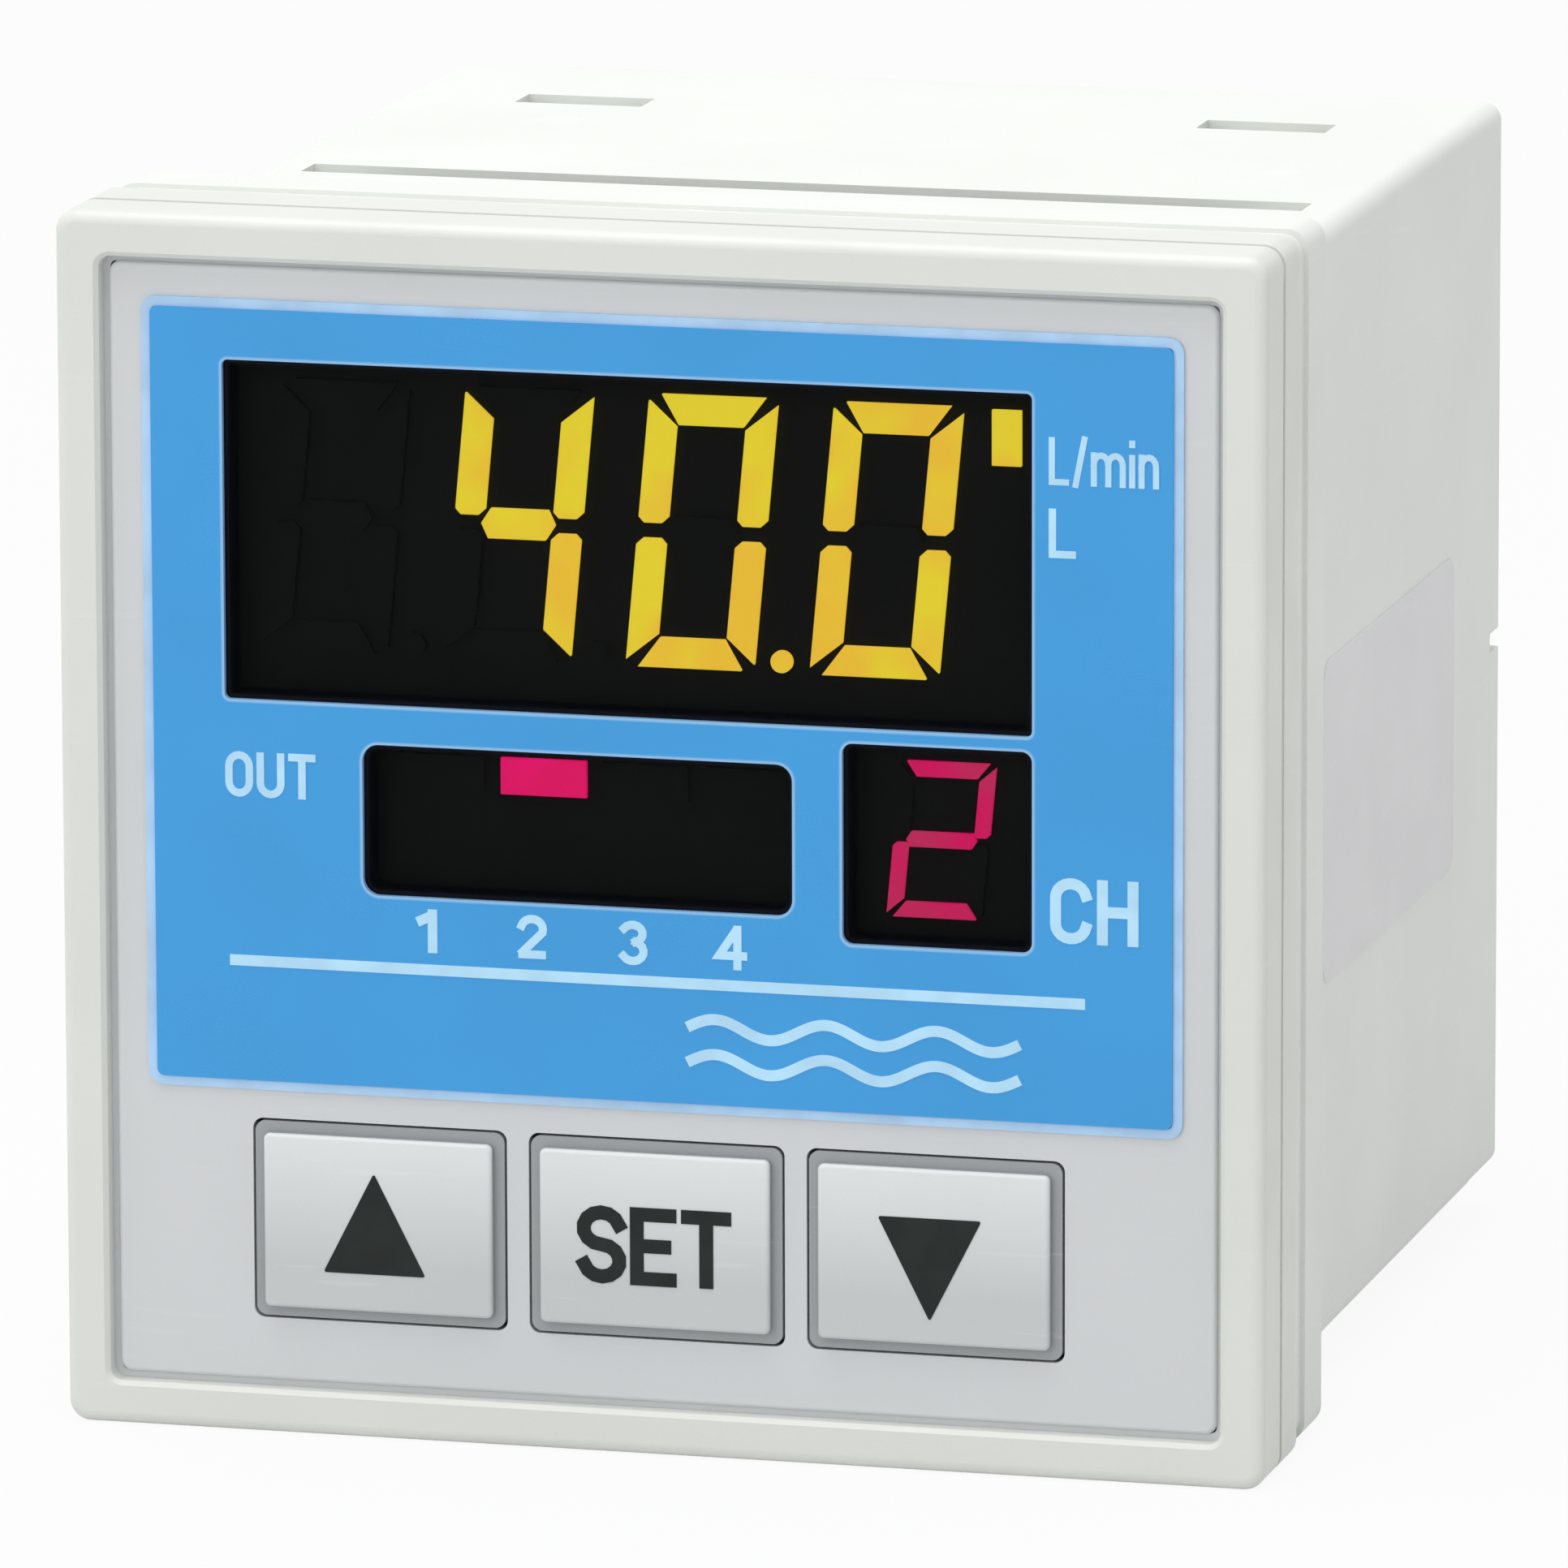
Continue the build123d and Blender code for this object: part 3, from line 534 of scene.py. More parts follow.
def build_shared_effects():
    build_moulded_grain()
    build_edge_band()
    build_rounded_outline()
    build_handling_marks()


# Finishes
# Where the two noises are read, so that they reach their full range
DRIFT_SPAN = (0.35, 0.65)
GRAIN_SPAN = (0.3, 0.7)
# Width of the band along outer edges that is worn and lightened by painted highlight
EDGE_WEAR_AND_HIGHLIGHT_WIDTH = 0.35 * MM


def toned(colour, factor, lift=0.0):
    """A colour made lighter or darker, with no channel over 1."""
    return tuple(min(1.0, channel * factor + lift) for channel in colour)


def grained(tree, place, size, drift=9):
    """Grain and drift over a surface, with their sizes in millimetres."""
    return use_group(tree, "Moulded grain", {
        "Vector": place, "Grain size": size * MM, "Drift size": drift * MM})


def handled(tree, place, size=4):
    """Rubbed patches and scratches over a surface, with their size in millimetres."""
    return use_group(tree, "Handling marks", {"Vector": place, "Size": size * MM})


def drifting(tree, drift, first, second):
    """A colour that wanders slowly between two."""
    return mix_colours(tree, span(tree, drift, *DRIFT_SPAN), first, second)


def clouds(tree, place, size, detail):
    """Soft noise over a surface, with its size in millimetres."""
    return add_node(tree, "ShaderNodeTexNoise", {
        "Vector": place, "Scale": 1 / (size * MM), "Detail": detail}).outputs[0]


def relief(tree, shader, height, strength, depth):
    """Bumps the shader's surface by a height that changes over it, to a depth in millimetres."""
    bump = add_node(tree, "ShaderNodeBump", {
        "Strength": strength, "Distance": depth * MM, "Height": height})
    feed(shader, "Normal", bump.outputs[0])


def moulded_plastic(
        name, colour, low, high, roughness, grain=0.12, bump=0.012, wear=0.35, tint=None):
    """Fine-grained moulded plastic; its rubbed outer edges are smoother, and a little lighter by
    painted highlight.

    tint is an optional function that takes the tree, the place and the colour, and gives a colour.
    """
    material, tree, shader, place = new_material(name)
    surface = grained(tree, place, grain)
    marks = handled(tree, place)
    edge = use_group(tree, "Edge band", {
        "Vector": place, "Low": tuple(low), "High": tuple(high), "Width": EDGE_WEAR_AND_HIGHLIGHT_WIDTH})
    base = drifting(tree, surface["Drift"], toned(colour, 0.985), toned(colour, 1.01))
    if tint:
        base = tint(tree, place, base)
    # Outer edges: smoother from wear, and lighter with a painted highlight
    broken = maths(tree, "MULTIPLY", edge["Mask"], span(tree, surface["Drift"], 0.3, 0.6))
    rubbed = maths(tree, "MULTIPLY", broken, wear)
    bright = toned(colour, 1.12, 0.02)
    base = mix_colours(tree, rubbed, base, bright)
    base = mix_colours(tree, maths(tree, "MULTIPLY", marks["Scratch"], 0.10), base, bright)
    feed(shader, "Base Color", base)
    rough = span(tree, surface["Grain"], *GRAIN_SPAN, roughness - 0.04, roughness + 0.06)
    rough = maths(tree, "SUBTRACT", rough, maths(tree, "MULTIPLY", marks["Rub"], 0.07))
    rough = maths(tree, "SUBTRACT", rough, maths(tree, "MULTIPLY", rubbed, 0.15))
    feed(shader, "Roughness", rough)
    relief(tree, shader, surface["Grain"], 0.5, bump)
    shader.inputs["IOR"].default_value = 1.5
    shader.inputs["Specular IOR Level"].default_value = 0.4
    return material


def printed_sheet(colours):
    """Blue print under a clear film, with a pale painted highlight along the edges where the film is
    cut.
    """
    material, tree, shader, place = new_material("blue_printed_film")
    surface = grained(tree, place, 0.06, 7)
    marks = handled(tree, place, 6)
    blue = tuple(colours.sheet)
    base = drifting(tree, surface["Drift"], toned(blue, 0.975), toned(blue, 1.02))
    # Painted highlight: a pale line along the cut-outs' edges
    near_cut = span(tree, cutout_distance(tree, place), CUT_EDGE_WIDTH, CUT_EDGE_WIDTH * 0.5)
    cut_edge_highlight = maths(tree, "MULTIPLY", near_cut, 0.55)
    feed(shader, "Base Color", mix_colours(tree, cut_edge_highlight, base, tuple(colours.sheet_border)))
    rough = span(tree, surface["Grain"], *GRAIN_SPAN, 0.30, 0.38)
    rough = maths(tree, "SUBTRACT", rough, maths(tree, "MULTIPLY", marks["Rub"], 0.06))
    feed(shader, "Roughness", rough)
    relief(tree, shader, surface["Grain"], 0.4, 0.004)
    shader.inputs["Specular IOR Level"].default_value = 0.35
    return material


# Cut-outs of the sheet about the front's middle, in millimetres: left, right, bottom, top, corner
CUTOUTS = (
    (-14.5, 12.3, 4.2, 15.3, 0.2),
    (-9.9, 4.4, -2.03, 2.92, 0.55),
    (6.05, 12.3, -2.84, 3.72, 0.35),
)
# Width of the painted highlight along the sheet's cut edges, and of the window's navy edge
CUT_EDGE_WIDTH = 0.12 * MM
WINDOW_EDGE_WIDTH = 0.22 * MM


def cutout_distance(tree, place):
    """Distance to the nearest cut-out of the sheet, negative within it."""
    nearest = None
    for left, right, bottom, top, corner in CUTOUTS:
        distance = use_group(tree, "Rounded outline", {
            "Vector": place, "Middle": tuple(on_front((left + right) / 2, (bottom + top) / 2)),
            "Half size": ((right - left) / 2 * MM, 0, (top - bottom) / 2 * MM),
            "Corner": corner * MM})["Distance"]
        nearest = distance if nearest is None else maths(tree, "MINIMUM", nearest, distance)
    return nearest


def ink(name, colour, spread=0.06):
    """Screen-printed ink: slightly uneven cover and a fine dry surface."""
    material, tree, shader, place = new_material(name)
    surface = grained(tree, place, 0.05, 1.5)
    thin, full = toned(colour, 1 - spread), toned(colour, 1 + spread)
    feed(shader, "Base Color", drifting(tree, surface["Drift"], thin, full))
    feed(shader, "Roughness", span(tree, surface["Grain"], *GRAIN_SPAN, 0.42, 0.55))
    relief(tree, shader, surface["Grain"], 0.4, 0.003)
    shader.inputs["Specular IOR Level"].default_value = 0.15
    return material


def smoked_window():
    """Dark clear plate: mostly see-through, with opaque navy print along its cut-outs' edges."""
    material, tree, shader, place = new_material("smoked_window_plate")
    rub = handled(tree, place, 5)["Rub"]
    surface = grained(tree, place, 0.08)
    base = mix_colours(tree, rub, (0.0028, 0.0036, 0.0036), (0.0044, 0.0052, 0.0048))
    edge = span(
        tree, cutout_distance(tree, place), -WINDOW_EDGE_WIDTH, -WINDOW_EDGE_WIDTH * 0.5)
    feed(shader, "Base Color", mix_colours(tree, edge, base, (0.0010, 0.0016, 0.0060)))
    feed(shader, "Alpha", span(tree, edge, 0.0, 1.0, 0.35, 1.0))
    feed(shader, "Roughness", span(tree, rub, 0, 1, 0.16, 0.26))
    relief(tree, shader, surface["Grain"], 0.2, 0.002)
    shader.inputs["Specular IOR Level"].default_value = 0.08
    return material


def lit_segment(name, colour, warm, strength):
    """A light chamber, with warmer patches as the lens spreads the light."""
    material, tree, shader, place = new_material(name)
    patches = clouds(tree, place, 2.6, 1.5)
    glow = mix_colours(tree, span(tree, patches, 0.40, 0.62), colour, warm)
    feed(shader, "Emission Color", glow)
    feed(shader, "Base Color", mix_colours(tree, 0.5, colour, (0.02, 0.02, 0.02)))
    feed(shader, "Roughness", span(tree, patches, *GRAIN_SPAN, 0.35, 0.5))
    shader.inputs["Emission Strength"].default_value = strength
    return material


def dark_finish(name, colour, roughness=0.5, grain=0.1, bump=0.008):
    """Black or dark parts of the display and the switches."""
    material, tree, shader, place = new_material(name)
    surface = grained(tree, place, grain, 3)
    feed(shader, "Base Color", drifting(
        tree, surface["Drift"], colour, toned(colour, 1.3, 0.0005)))
    feed(shader, "Roughness", span(
        tree, surface["Grain"], *GRAIN_SPAN, roughness - 0.05, roughness + 0.08))
    relief(tree, shader, surface["Grain"], 0.5, bump)
    shader.inputs["Specular IOR Level"].default_value = 0.2
    return material


def solder_resist():
    """Green board: resist over copper tracks, which stand out a little in tone and height."""
    material, tree, shader, place = new_material("green_solder_resist")
    tracks = add_node(
        tree, "ShaderNodeTexVoronoi", {"Vector": place, "Scale": 1 / (2.2 * MM)},
        feature="DISTANCE_TO_EDGE", distance="MANHATTAN")
    mask = span(tree, tracks.outputs["Distance"], 0.10, 0.14, 1.0, 0.0)
    surface = grained(tree, place, 0.2, 5)
    ground = drifting(tree, surface["Drift"], (0.012, 0.120, 0.042), (0.018, 0.150, 0.055))
    feed(shader, "Base Color", mix_colours(tree, mask, ground, (0.035, 0.260, 0.090)))
    feed(shader, "Roughness", span(tree, surface["Grain"], *GRAIN_SPAN, 0.22, 0.32))
    fine = maths(tree, "MULTIPLY", surface["Grain"], 0.2)
    relief(tree, shader, maths(tree, "MULTIPLY_ADD", mask, 1.0, fine), 0.6, 0.03)
    return material


def bare_metal(name, colour, dark, roughness, streak_axis):
    """Drawn or plated metal with fine lengthwise streaks and dull patches."""
    material, tree, shader, place = new_material(name)
    stretch = [6.0, 6.0, 6.0]
    stretch[streak_axis] = 0.6
    drawn = add_node(tree, "ShaderNodeMapping", {"Vector": place, "Scale": stretch}).outputs[0]
    streaks = clouds(tree, drawn, 1.2, 3.0)
    patches = clouds(tree, place, 1.5, 2.0)
    feed(shader, "Base Color", mix_colours(
        tree, span(tree, patches, 0.45, 0.7), colour, dark))
    feed(shader, "Roughness", span(
        tree, streaks, *GRAIN_SPAN, roughness - 0.06, roughness + 0.12))
    relief(tree, shader, streaks, 0.3, 0.006)
    shader.inputs["Metallic"].default_value = 1.0
    return material


def dress(nodes, material):
    """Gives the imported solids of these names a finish."""
    for name in nodes:
        mesh = frame["nodes"][name].data
        if not mesh.materials:
            mesh.materials.append(material)
        for index in range(len(mesh.materials)):
            mesh.materials[index] = material


def mould(node, name, colour, **finish):
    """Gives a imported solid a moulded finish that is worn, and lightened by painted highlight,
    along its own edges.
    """
    dress([node], moulded_plastic(name, tuple(colour), *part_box(node), **finish))


# Case
class FLOW_OT_case(bpy.types.Operator):
    """Finishes the front frame, the housing and the rear cover"""

    bl_idname = "flow.case"
    bl_label = "Case"

    def execute(self, context):
        colours = context.scene.flow_colours
        mould("front_frame", "satin_frame_plastic", colours.frame, roughness=0.42, wear=0.5)
        for name in ("housing", "rear_cover"):
            mould(name, f"{name}_plastic", colours.case, roughness=0.5, bump=0.016)
        return {"FINISHED"}


# Front panel
SEAL_DEPTH, SEAL_THICKNESS, SEAL_WIDTH = 0.20 * MM, 0.30 * MM, 0.26 * MM
SEAL_UNDER_PANEL = 0.02 * MM
SEAL_CORNER = 0.45 * MM


def make_panel_seal(colour):
    """The narrow seal in the groove between the front panel and the frame."""
    size = PANEL_HIGH.x - PANEL_LOW.x + 2 * (SEAL_WIDTH - SEAL_UNDER_PANEL)
    seal = plate(size, size, SEAL_THICKNESS, SEAL_CORNER)
    window_in_plate(seal, SEAL_WIDTH)
    seal.location = FRONT_MIDDLE.copy()
    seal.location.y = PANEL_LOW.y + SEAL_DEPTH + SEAL_THICKNESS
    return settle(seal, "panel_seal", "case", moulded_plastic(
        "panel_seal_rubber", colour, PANEL_LOW, PANEL_HIGH, roughness=0.6, wear=0.0))


class FLOW_OT_panel(bpy.types.Operator):
    """Finishes the inset panel that carries the display and the keys"""

    bl_idname = "flow.panel"
    bl_label = "Front panel"

    def execute(self, context):
        colours = context.scene.flow_colours
        mould("front_panel", "front_panel_plastic", colours.panel, roughness=0.46, wear=0.25)
        make_panel_seal(tuple(colours.panel))
        return {"FINISHED"}


# Printed sheet and its marks
SHEET_DEPTH = (SHEET_LOW.y - FRONT_LOW.y) / MM
# A pale rim round the sheet is a painted highlight of the sheet's edge: its thickness and corner
EDGE_HIGHLIGHT_THICKNESS, EDGE_HIGHLIGHT_CORNER = 0.12 * MM, 0.5 * MM
# The pale rim's width over the band of painted highlight that shows, and how far its back stands in
# the panel
EDGE_HIGHLIGHT_UNDER_SHEET = 1.02
EDGE_HIGHLIGHT_SINK = 0.01 * MM
# Each mark: its text, its left, right, bottom and top edges, and its stroke, in millimetres
SHEET_MARKS = {
    "output_mark": ("OUT", -14.50, -11.45, 1.00, 2.50, 0.25),
    "rate_unit_mark": ("L/min", 12.85, 16.45, 12.40, 13.95, 0.20),
    "total_unit_mark": ("L", 12.85, 13.75, 10.05, 11.65, 0.24),
    "channel_mark": ("CH", 12.90, 15.80, -2.45, -0.30, 0.36),
}
NUMERALS = (
    ("1", -8.12, -7.42, -3.84, -2.38, 0.32),
    ("2", -4.75, -3.75, -3.84, -2.40, 0.27),
    ("3", -1.37, -0.40, -3.88, -2.42, 0.27),
    ("4", 1.84, 2.92, -3.88, -2.40, 0.27),
)
DIVIDER = [(-14.40, -4.39), (14.05, -4.39)]
STREAM_LEFT, STREAM_RIGHT, STREAM_Z = 0.9, 11.9, -6.40
STREAM_PITCH, STREAM_WAVES, STREAM_SWING, STREAM_STROKE = 1.15, 3, 0.30, 0.36
STREAM_STEPS = 72


def make_sheet_edge_highlight(print_sizes, colours):
    """A painted highlight of the sheet's edge: a thin pale rim against it on the panel."""
    width = SHEET_HIGH.x - SHEET_LOW.x + 2 * print_sizes.border_width
    height = SHEET_HIGH.z - SHEET_LOW.z + 2 * print_sizes.border_width
    rim = plate(width, height, EDGE_HIGHLIGHT_THICKNESS, EDGE_HIGHLIGHT_CORNER)
    window_in_plate(rim, print_sizes.border_width * EDGE_HIGHLIGHT_UNDER_SHEET)
    rim.location = (SHEET_LOW + SHEET_HIGH) / 2
    rim.location.y = PANEL_LOW.y + EDGE_HIGHLIGHT_SINK
    pale = ink("painted_sheet_edge_highlight", tuple(colours.sheet_border))
    return settle(rim, "sheet_border", "case", pale)


def make_stream_sign(print_sizes, material):
    """Two waves, one above the other: a plain sign for flow."""
    rows = []
    for z in (STREAM_Z + STREAM_PITCH / 2, STREAM_Z - STREAM_PITCH / 2):
        row = []
        for step in range(STREAM_STEPS + 1):
            share = step / STREAM_STEPS
            swing = STREAM_SWING * math.sin(2 * math.pi * STREAM_WAVES * share)
            row.append((STREAM_LEFT + share * (STREAM_RIGHT - STREAM_LEFT), z + swing))
        rows.append(row)
    mark = stroke_mark(rows, STREAM_STROKE, SHEET_DEPTH, print_sizes)
    return settle(mark, "stream_sign", "case", material)


class FLOW_OT_sheet(bpy.types.Operator):
    """Prints the blue sheet and sets its pale marks on it"""

    bl_idname = "flow.sheet"
    bl_label = "Printed sheet"

    def execute(self, context):
        colours, print_sizes = context.scene.flow_colours, context.scene.flow_print
        dress(["face_sheet"], printed_sheet(colours))
        make_sheet_edge_highlight(print_sizes, colours)
        pale = ink("pale_sheet_ink", tuple(colours.pale_ink))
        make_stream_sign(print_sizes, pale)
        numerals = [
            stroke_mark(lettering(*numeral), numeral[-1], SHEET_DEPTH, print_sizes)
            for numeral in NUMERALS
        ]
        settle(join(numerals), "output_numerals", "case", pale)
        divider = stroke_mark([DIVIDER], print_sizes.line_width / MM, SHEET_DEPTH, print_sizes)
        settle(divider, "divider_line", "case", pale)
        for name, mark in SHEET_MARKS.items():
            piece = stroke_mark(lettering(*mark), mark[-1], SHEET_DEPTH, print_sizes)
            settle(piece, name, "case", pale)
        return {"FINISHED"}


# Display
DIGIT_GLOW, BAR_GLOW, CHANNEL_GLOW = 2.0, 2.3, 1.9


class FLOW_OT_display(bpy.types.Operator):
    """Finishes the smoked window, the display module and its lit and unlit bars"""

    bl_idname = "flow.display"
    bl_label = "Display"

    def execute(self, context):
        colours = context.scene.flow_colours
        yellow, red = tuple(colours.digits), tuple(colours.channel)
        dress(["display_window"], smoked_window())
        dress(["display_module"], dark_finish(
            "display_module_black", (0.0030, 0.0034, 0.0034), 0.6))
        dress(["main_digits_lit"], lit_segment(
            "lit_yellow_segments", yellow, (0.830, 0.500, 0.035), DIGIT_GLOW))
        dress(["output_bar_lit"], lit_segment(
            "lit_red_bar", red, (0.700, 0.000, 0.130), BAR_GLOW))
        dress(["channel_digit_lit"], lit_segment(
            "lit_red_digit", red, (0.500, 0.020, 0.100), CHANNEL_GLOW))
        dress(["main_digits_dark", "output_bars_dark", "channel_digit_dark"],
              dark_finish("unlit_segments", (0.0036, 0.0038, 0.0036), 0.6))
        return {"FINISHED"}


# Keys
KEY_FACE_DEPTH = (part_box("set_key")[0].y - FRONT_LOW.y) / MM
KEY_TINT_START, KEY_TINT_BLEND = 0.30 * MM, 0.05 * MM
# Painted shade on the keys: darker towards the foot, between these heights above the foot and below
# the head, down to this share of the colour
KEY_SHADE_FOOT, KEY_SHADE_HEAD = 2.2 * MM, 0.9 * MM
KEY_FOOT_PAINTED_SHADE = 0.76
ARROW_UP = {"middle": -9.58, "bottom": -14.55, "top": -11.25, "half_width": 1.68}
ARROW_DOWN = {"middle": 8.96, "bottom": -14.98, "top": -11.65, "half_width": 1.68}
# Share of the arrow's size by which its corners are cut back
ARROW_ROUNDING = 0.05
SET_MARK = ("SET", -2.78, 2.40, -14.40, -11.82, 0.46)
SET_GAP = 0.26


def key_outline_and_painted_shade(outline, low, high):
    """Colour changes of a key: painted shade, darker towards its foot, and a grey outline on its low
    step.
    """

    def tint(tree, place, base):
        parts = add_node(tree, "ShaderNodeSeparateXYZ", {0: place}).outputs
        # Painted shade: the key grows darker towards its foot
        foot = span(tree, parts[2], low.z + KEY_SHADE_FOOT, high.z - KEY_SHADE_HEAD)
        tone = span(tree, foot, 0.0, 1.0, KEY_FOOT_PAINTED_SHADE, 1.0)
        painted_shade = add_node(tree, "ShaderNodeHueSaturation", {"Value": tone, "Color": base})
        start = FRONT_LOW.y + KEY_TINT_START
        step = span(tree, parts[1], start, start + KEY_TINT_BLEND)
        return mix_colours(tree, step, painted_shade.outputs[0], outline)

    return tint


def make_arrow(shape, points_up, print_sizes):
    """A solid triangle of ink with slightly rounded corners."""
    deselect()
    bpy.ops.mesh.primitive_circle_add(vertices=3, radius=1, fill_type="NGON")
    arrow = bpy.context.active_object
    bpy.ops.object.mode_set(mode="EDIT")
    bpy.ops.mesh.select_all(action="SELECT")
    bpy.ops.mesh.bevel(offset=ARROW_ROUNDING, segments=4, affect="VERTICES")
    bpy.ops.mesh.select_all(action="SELECT")
    bpy.ops.mesh.extrude_region_move(TRANSFORM_OT_translate={"value": (0, 0, 1)})
    bpy.ops.mesh.select_all(action="SELECT")
    bpy.ops.mesh.normals_make_consistent(inside=False)
    bpy.ops.object.mode_set(mode="OBJECT")
    corners = [vertex.co for vertex in arrow.data.vertices]
    low = Vector(min(corner[axis] for corner in corners) for axis in range(3))
    high = Vector(max(corner[axis] for corner in corners) for axis in range(3))
    thickness = print_sizes.ink_height + print_sizes.ink_root
    width, height = 2 * shape["half_width"] * MM, (shape["top"] - shape["bottom"]) * MM
    scale = Matrix.Diagonal((width / (high.x - low.x), height / (high.y - low.y), thickness, 1))
    centre = Matrix.Translation(-(low + high) / 2 + Vector((0, 0, 0.5)))
    turn = Matrix.Rotation(math.radians(90), 4, "X")
    flip = Matrix.Rotation(0 if points_up else math.pi, 4, "Z")
    middle = on_front(shape["middle"], (shape["bottom"] + shape["top"]) / 2, KEY_FACE_DEPTH)
    middle.y += print_sizes.ink_root
    arrow.matrix_world = Matrix.Translation(middle) @ turn @ flip @ scale @ centre
    return arrow


class FLOW_OT_keys(bpy.types.Operator):
    """Finishes the three keys, and sets an arrow, the word SET and an arrow on them"""

    bl_idname = "flow.keys"
    bl_label = "Keys"

    def execute(self, context):
        colours, print_sizes = context.scene.flow_colours, context.scene.flow_print
        outline = tuple(colours.key_outline)
        for name in ("up", "set", "down"):
            key, plunger = f"{name}_key", f"{name}_plunger"
            mould(key, f"{key}_plastic", colours.key, roughness=0.38, wear=0.2,
                  tint=key_outline_and_painted_shade(outline, *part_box(key)))
            dress([plunger], dark_finish(f"{plunger}_black", (0.02, 0.02, 0.02), 0.4))
        dark = ink("dark_key_ink", tuple(colours.dark_ink), 0.12)
        for name, shape in (("up", ARROW_UP), ("down", ARROW_DOWN)):
            arrow = make_arrow(shape, name == "up", print_sizes)
            settle(arrow, f"{name}_arrow", f"{name}_key_body", dark)
        strokes = lettering(*SET_MARK, SET_GAP)
        word = stroke_mark(strokes, SET_MARK[-1], KEY_FACE_DEPTH, print_sizes)
        settle(word, "set_word", "set_key_body", dark)
        return {"FINISHED"}


# Bare plate on the right side, in millimetres behind the rim and about the front's middle
PLATE_FRONT, PLATE_BACK, PLATE_BOTTOM, PLATE_TOP = 14.6, 34.4, -6.6, 4.2
PLATE_CORNER = 0.8 * MM
PLATE_GREY = (0.715, 0.713, 0.730)
PLATE_SINK = 0.01 * MM


class FLOW_OT_plate(bpy.types.Operator):
    """Adds the bare grey plate on the right side of the housing"""

    bl_idname = "flow.plate"
    bl_label = "Side plate"

    def execute(self, context):
        print_sizes = context.scene.flow_print
        film = plate(
            (PLATE_BACK - PLATE_FRONT) * MM, (PLATE_TOP - PLATE_BOTTOM) * MM,
            print_sizes.plate_thickness, PLATE_CORNER)
        film.rotation_euler = (0, 0, math.radians(90))
        low = on_front(0, PLATE_BOTTOM, PLATE_FRONT)
        high = on_front(0, PLATE_TOP, PLATE_BACK)
        film.location = (low + high) / 2
        low.x = film.location.x = COVER_SIDE + PLATE_SINK
        high.x = low.x + print_sizes.plate_thickness
        settle(film, "side_plate", "case", moulded_plastic(
            "side_plate_film", PLATE_GREY, low, high, roughness=0.4, bump=0.004, wear=0.1))
        return {"FINISHED"}


# Rear sockets
SOCKETS = [f"sensor_socket_{number}" for number in range(1, 5)] + ["power_socket"]
SOCKET_NYLON = (0.730, 0.715, 0.640)


class FLOW_OT_sockets(bpy.types.Operator):
    """Finishes the rear sockets and their pins"""

    bl_idname = "flow.sockets"
    bl_label = "Rear sockets"

    def execute(self, context):
        for name in SOCKETS:
            mould(name, f"{name}_nylon", SOCKET_NYLON, roughness=0.36, grain=0.2, bump=0.006)
        dress(["sensor_socket_pins", "power_socket_pins", "front_link_pins", "rear_link_pins"],
              bare_metal("tinned_pins", (0.72, 0.70, 0.64), (0.50, 0.47, 0.40), 0.28, 1))
        return {"FINISHED"}


# Boards and what they carry
class FLOW_OT_electronics(bpy.types.Operator):
    """Finishes the boards, chips, capacitors, links and key switches inside"""

    bl_idname = "flow.electronics"
    bl_label = "Electronics"

    def execute(self, context):
        dress(["display_board", "main_board", "connector_board"], solder_resist())
        dress(["display_driver", "controller_chip", "supply_regulator"],
              dark_finish("moulded_epoxy", (0.016, 0.016, 0.017), 0.55, 0.15, 0.02))
        dress(["key_switches", "front_link_block", "rear_link_block"],
              dark_finish("black_switch_plastic", (0.024, 0.024, 0.025), 0.42))
        dress(["supply_capacitors"],
              bare_metal("drawn_can", (0.74, 0.74, 0.75), (0.60, 0.60, 0.62), 0.3, 2))
        return {"FINISHED"}


# Stage
# Share of the floor that looks plain white, so that the shadow on it stays faint
FLOOR_WHITE = 0.92
FLOOR_SIZE = 8
FLOOR_GAP = 0.02 * MM
LAMP_SIZE = 0.5
TOP_LAMP_PLACE = (-0.06, -0.10, 0.62)
FRONT_LAMP_PLACE = (-0.25, -0.60, 0.25)
SENSOR_WIDTH = 36


def make_camera(studio):
    """Places the camera at the photograph's angle, looking at a point of the front."""
    yaw, pitch, roll = studio.camera_yaw, studio.camera_pitch, studio.camera_roll
    back = Vector((
        math.sin(yaw) * math.cos(pitch), -math.cos(yaw) * math.cos(pitch), math.sin(pitch)))
    right = Vector((math.cos(yaw), math.sin(yaw), 0))
    up = back.cross(right)
    target = FRONT_MIDDLE + right * studio.target_right + up * studio.target_up
    tilted_right = right * math.cos(roll) + up * math.sin(roll)
    tilted_up = up * math.cos(roll) - right * math.sin(roll)
    deselect()
    bpy.ops.object.camera_add()
    camera = bpy.context.active_object
    camera.name = "photo_camera"
    turn = Matrix((tilted_right, tilted_up, back)).transposed().to_4x4()
    camera.matrix_world = Matrix.Translation(target + back * studio.camera_distance) @ turn
    camera.data.sensor_width = SENSOR_WIDTH
    camera.data.lens = studio.lens
    camera.data.clip_start = 0.01
    camera.data.clip_end = 20
    bpy.context.scene.camera = camera


def make_lamp(name, power, place, target):
    """A large soft lamp that faces its target."""
    deselect()
    bpy.ops.object.light_add(type="AREA", location=place)
    lamp = bpy.context.active_object
    lamp.name = name
    lamp.data.energy = power
    lamp.data.size = LAMP_SIZE
    lamp.rotation_euler = (Vector(place) - target).to_track_quat("Z", "Y").to_euler()


def seen_directly(tree):
    """1 for rays that should meet the white backdrop: camera, glossy and transmission rays."""
    path = tree.nodes.new("ShaderNodeLightPath")
    total = maths(tree, "ADD", path.outputs["Is Camera Ray"], path.outputs["Is Glossy Ray"])
    return maths(tree, "ADD", total, path.outputs["Is Transmission Ray"], clamp=True)


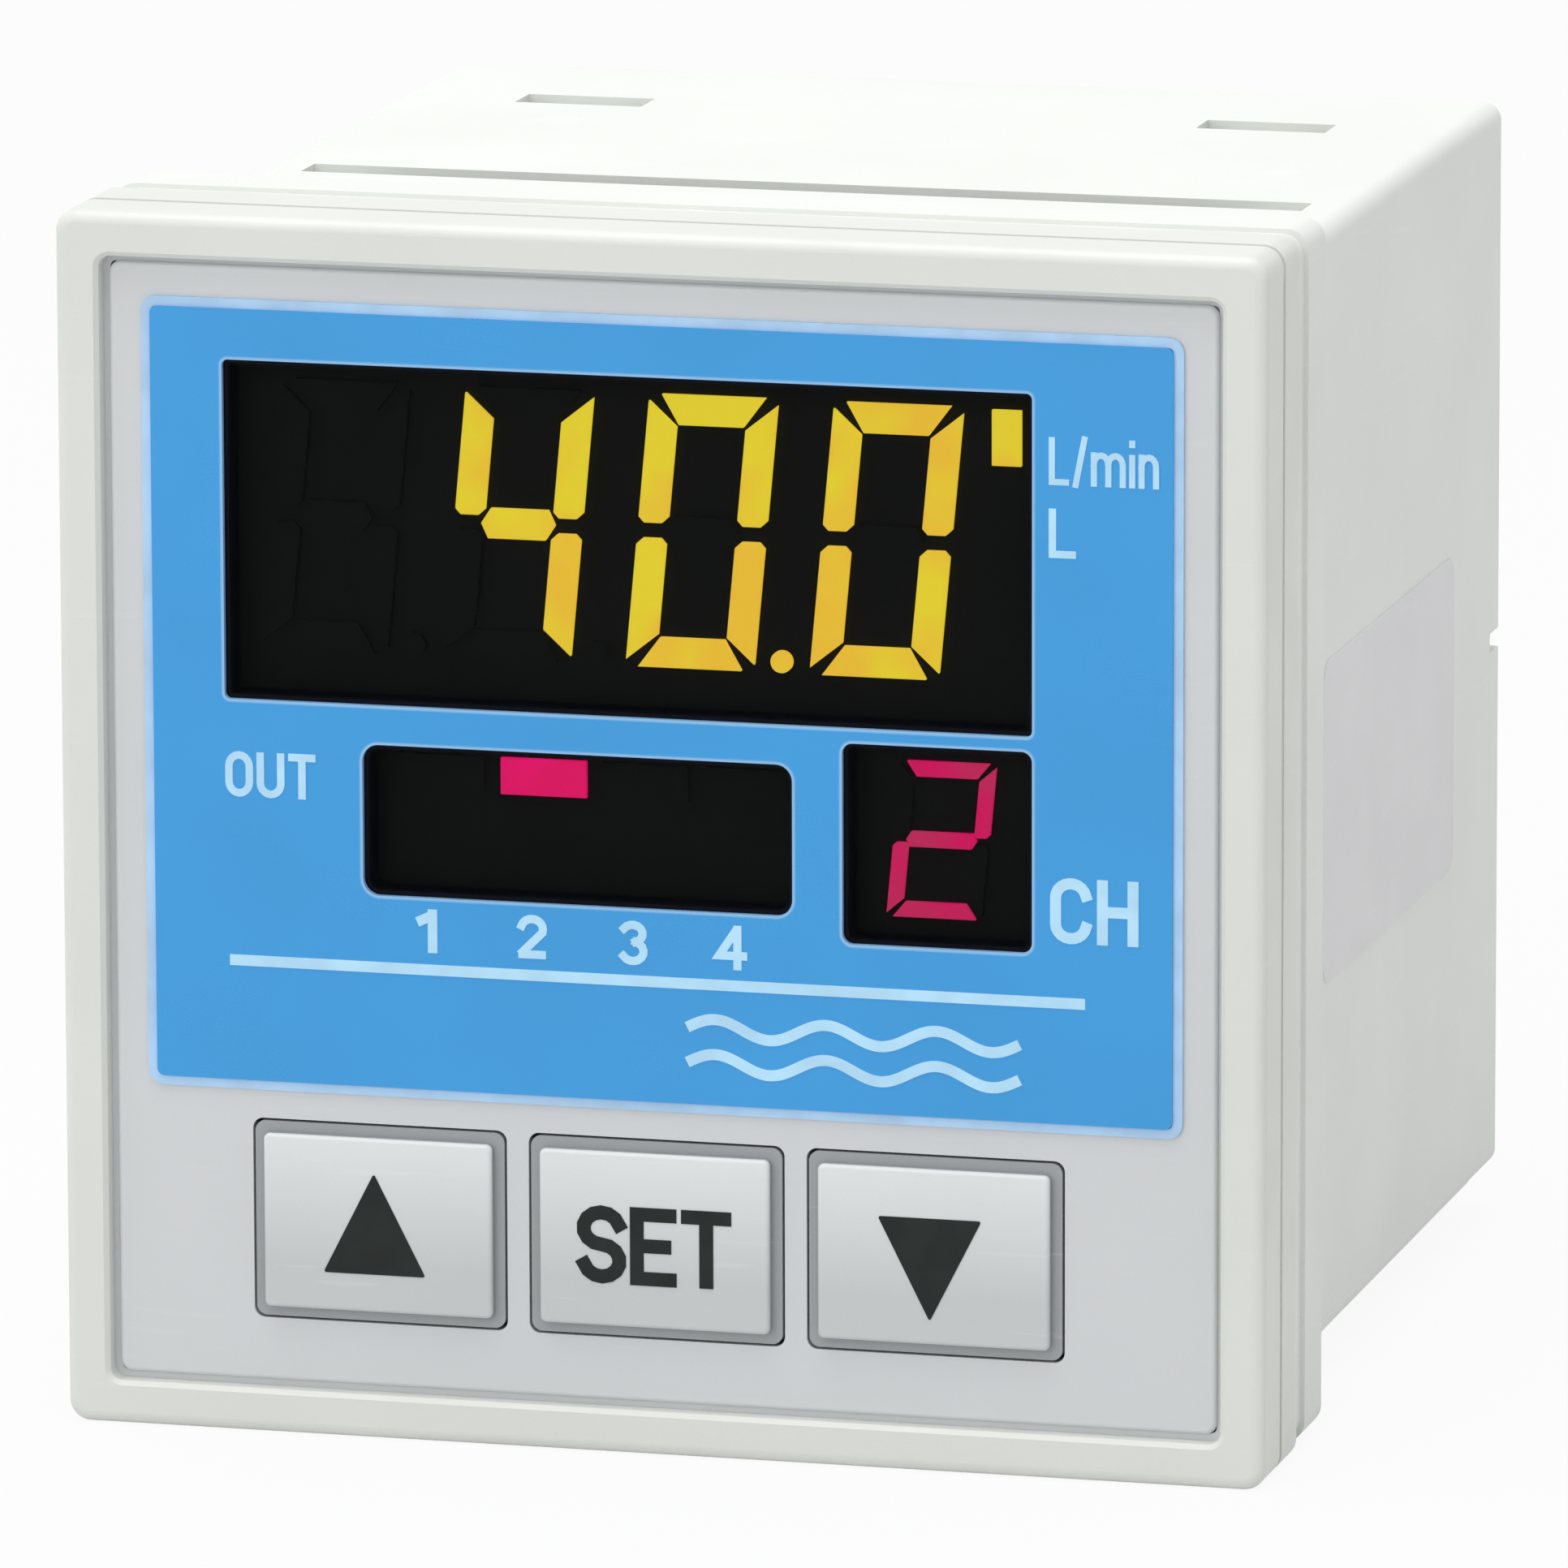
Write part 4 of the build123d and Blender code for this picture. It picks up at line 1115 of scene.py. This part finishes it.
def make_floor():
    """A pale floor that stays white to the camera but keeps the part's soft shadow."""
    deselect()
    bpy.ops.mesh.primitive_plane_add(
        size=FLOOR_SIZE, location=(0, 0, CAD_BOUNDS[0].z - FLOOR_GAP))
    floor = bpy.context.active_object
    floor.name = "floor"
    material = bpy.data.materials.new("pale_floor")
    material.use_nodes = True
    tree = material.node_tree
    tree.nodes.clear()
    matt = add_node(tree, "ShaderNodeBsdfDiffuse", {"Color": (0.70, 0.70, 0.70, 1)})
    glow = add_node(tree, "ShaderNodeEmission", {"Color": (1, 1, 1, 1), "Strength": 1.0})
    share = maths(tree, "MULTIPLY", seen_directly(tree), FLOOR_WHITE)
    mixed = add_node(
        tree, "ShaderNodeMixShader", {0: share, 1: matt.outputs[0], 2: glow.outputs[0]})
    add_node(tree, "ShaderNodeOutputMaterial", {"Surface": mixed.outputs[0]})
    floor.data.materials.append(material)


def make_sky(strength):
    """Even light from all sides, before a backdrop that the camera sees as white."""
    world = bpy.data.worlds.new("studio_sky")
    world.use_nodes = True
    tree = world.node_tree
    tree.nodes.clear()
    level = span(tree, seen_directly(tree), 0.0, 1.0, strength, 1.0)
    sky = add_node(tree, "ShaderNodeBackground", {"Color": (1, 1, 1, 1), "Strength": level})
    add_node(tree, "ShaderNodeOutputWorld", {"Surface": sky.outputs[0]})
    bpy.context.scene.world = world


class FLOW_OT_stage(bpy.types.Operator):
    """Sets the camera, the soft lamps, the sky and the pale floor"""

    bl_idname = "flow.stage"
    bl_label = "Stage"

    def execute(self, context):
        studio = context.scene.flow_studio
        middle = (CAD_BOUNDS[0] + CAD_BOUNDS[1]) / 2
        make_camera(studio)
        make_lamp("top_softbox", studio.top_lamp, TOP_LAMP_PLACE, middle)
        make_lamp("front_softbox", studio.front_lamp, FRONT_LAMP_PLACE, middle)
        make_sky(studio.sky_light)
        make_floor()
        context.scene.view_settings.view_transform = "Standard"
        return {"FINISHED"}


# Sidebar
STEPS = (
    FLOW_OT_case, FLOW_OT_panel, FLOW_OT_sheet, FLOW_OT_display, FLOW_OT_keys, FLOW_OT_plate,
    FLOW_OT_sockets, FLOW_OT_electronics, FLOW_OT_stage,
)


class FLOW_PT_sidebar(bpy.types.Panel):
    """Lists the settings and the steps of the flow switch"""

    bl_idname = "FLOW_PT_sidebar"
    bl_label = "Flow switch"
    bl_space_type = "VIEW_3D"
    bl_region_type = "UI"
    bl_category = "Flow switch"

    def draw(self, context):
        scene = context.scene
        for settings in (scene.flow_colours, scene.flow_print, scene.flow_studio):
            box = self.layout.box()
            for name in settings.__annotations__:
                box.prop(settings, name)
        for step in STEPS:
            self.layout.operator(step.bl_idname)


CLASSES = (FlowColours, FlowPrint, FlowStudio, *STEPS, FLOW_PT_sidebar)


def register():
    for cls in CLASSES:
        bpy.utils.register_class(cls)
    bpy.types.Scene.flow_colours = bpy.props.PointerProperty(type=FlowColours)
    bpy.types.Scene.flow_print = bpy.props.PointerProperty(type=FlowPrint)
    bpy.types.Scene.flow_studio = bpy.props.PointerProperty(type=FlowStudio)


def unregister():
    del bpy.types.Scene.flow_studio
    del bpy.types.Scene.flow_print
    del bpy.types.Scene.flow_colours
    for cls in reversed(CLASSES):
        bpy.utils.unregister_class(cls)


def main():
    register()
    build_shared_effects()
    bpy.ops.flow.case()
    bpy.ops.flow.panel()
    bpy.ops.flow.sheet()
    bpy.ops.flow.display()
    bpy.ops.flow.keys()
    bpy.ops.flow.plate()
    bpy.ops.flow.sockets()
    bpy.ops.flow.electronics()
    bpy.ops.flow.stage()


if __name__ == "__main__":
    main()
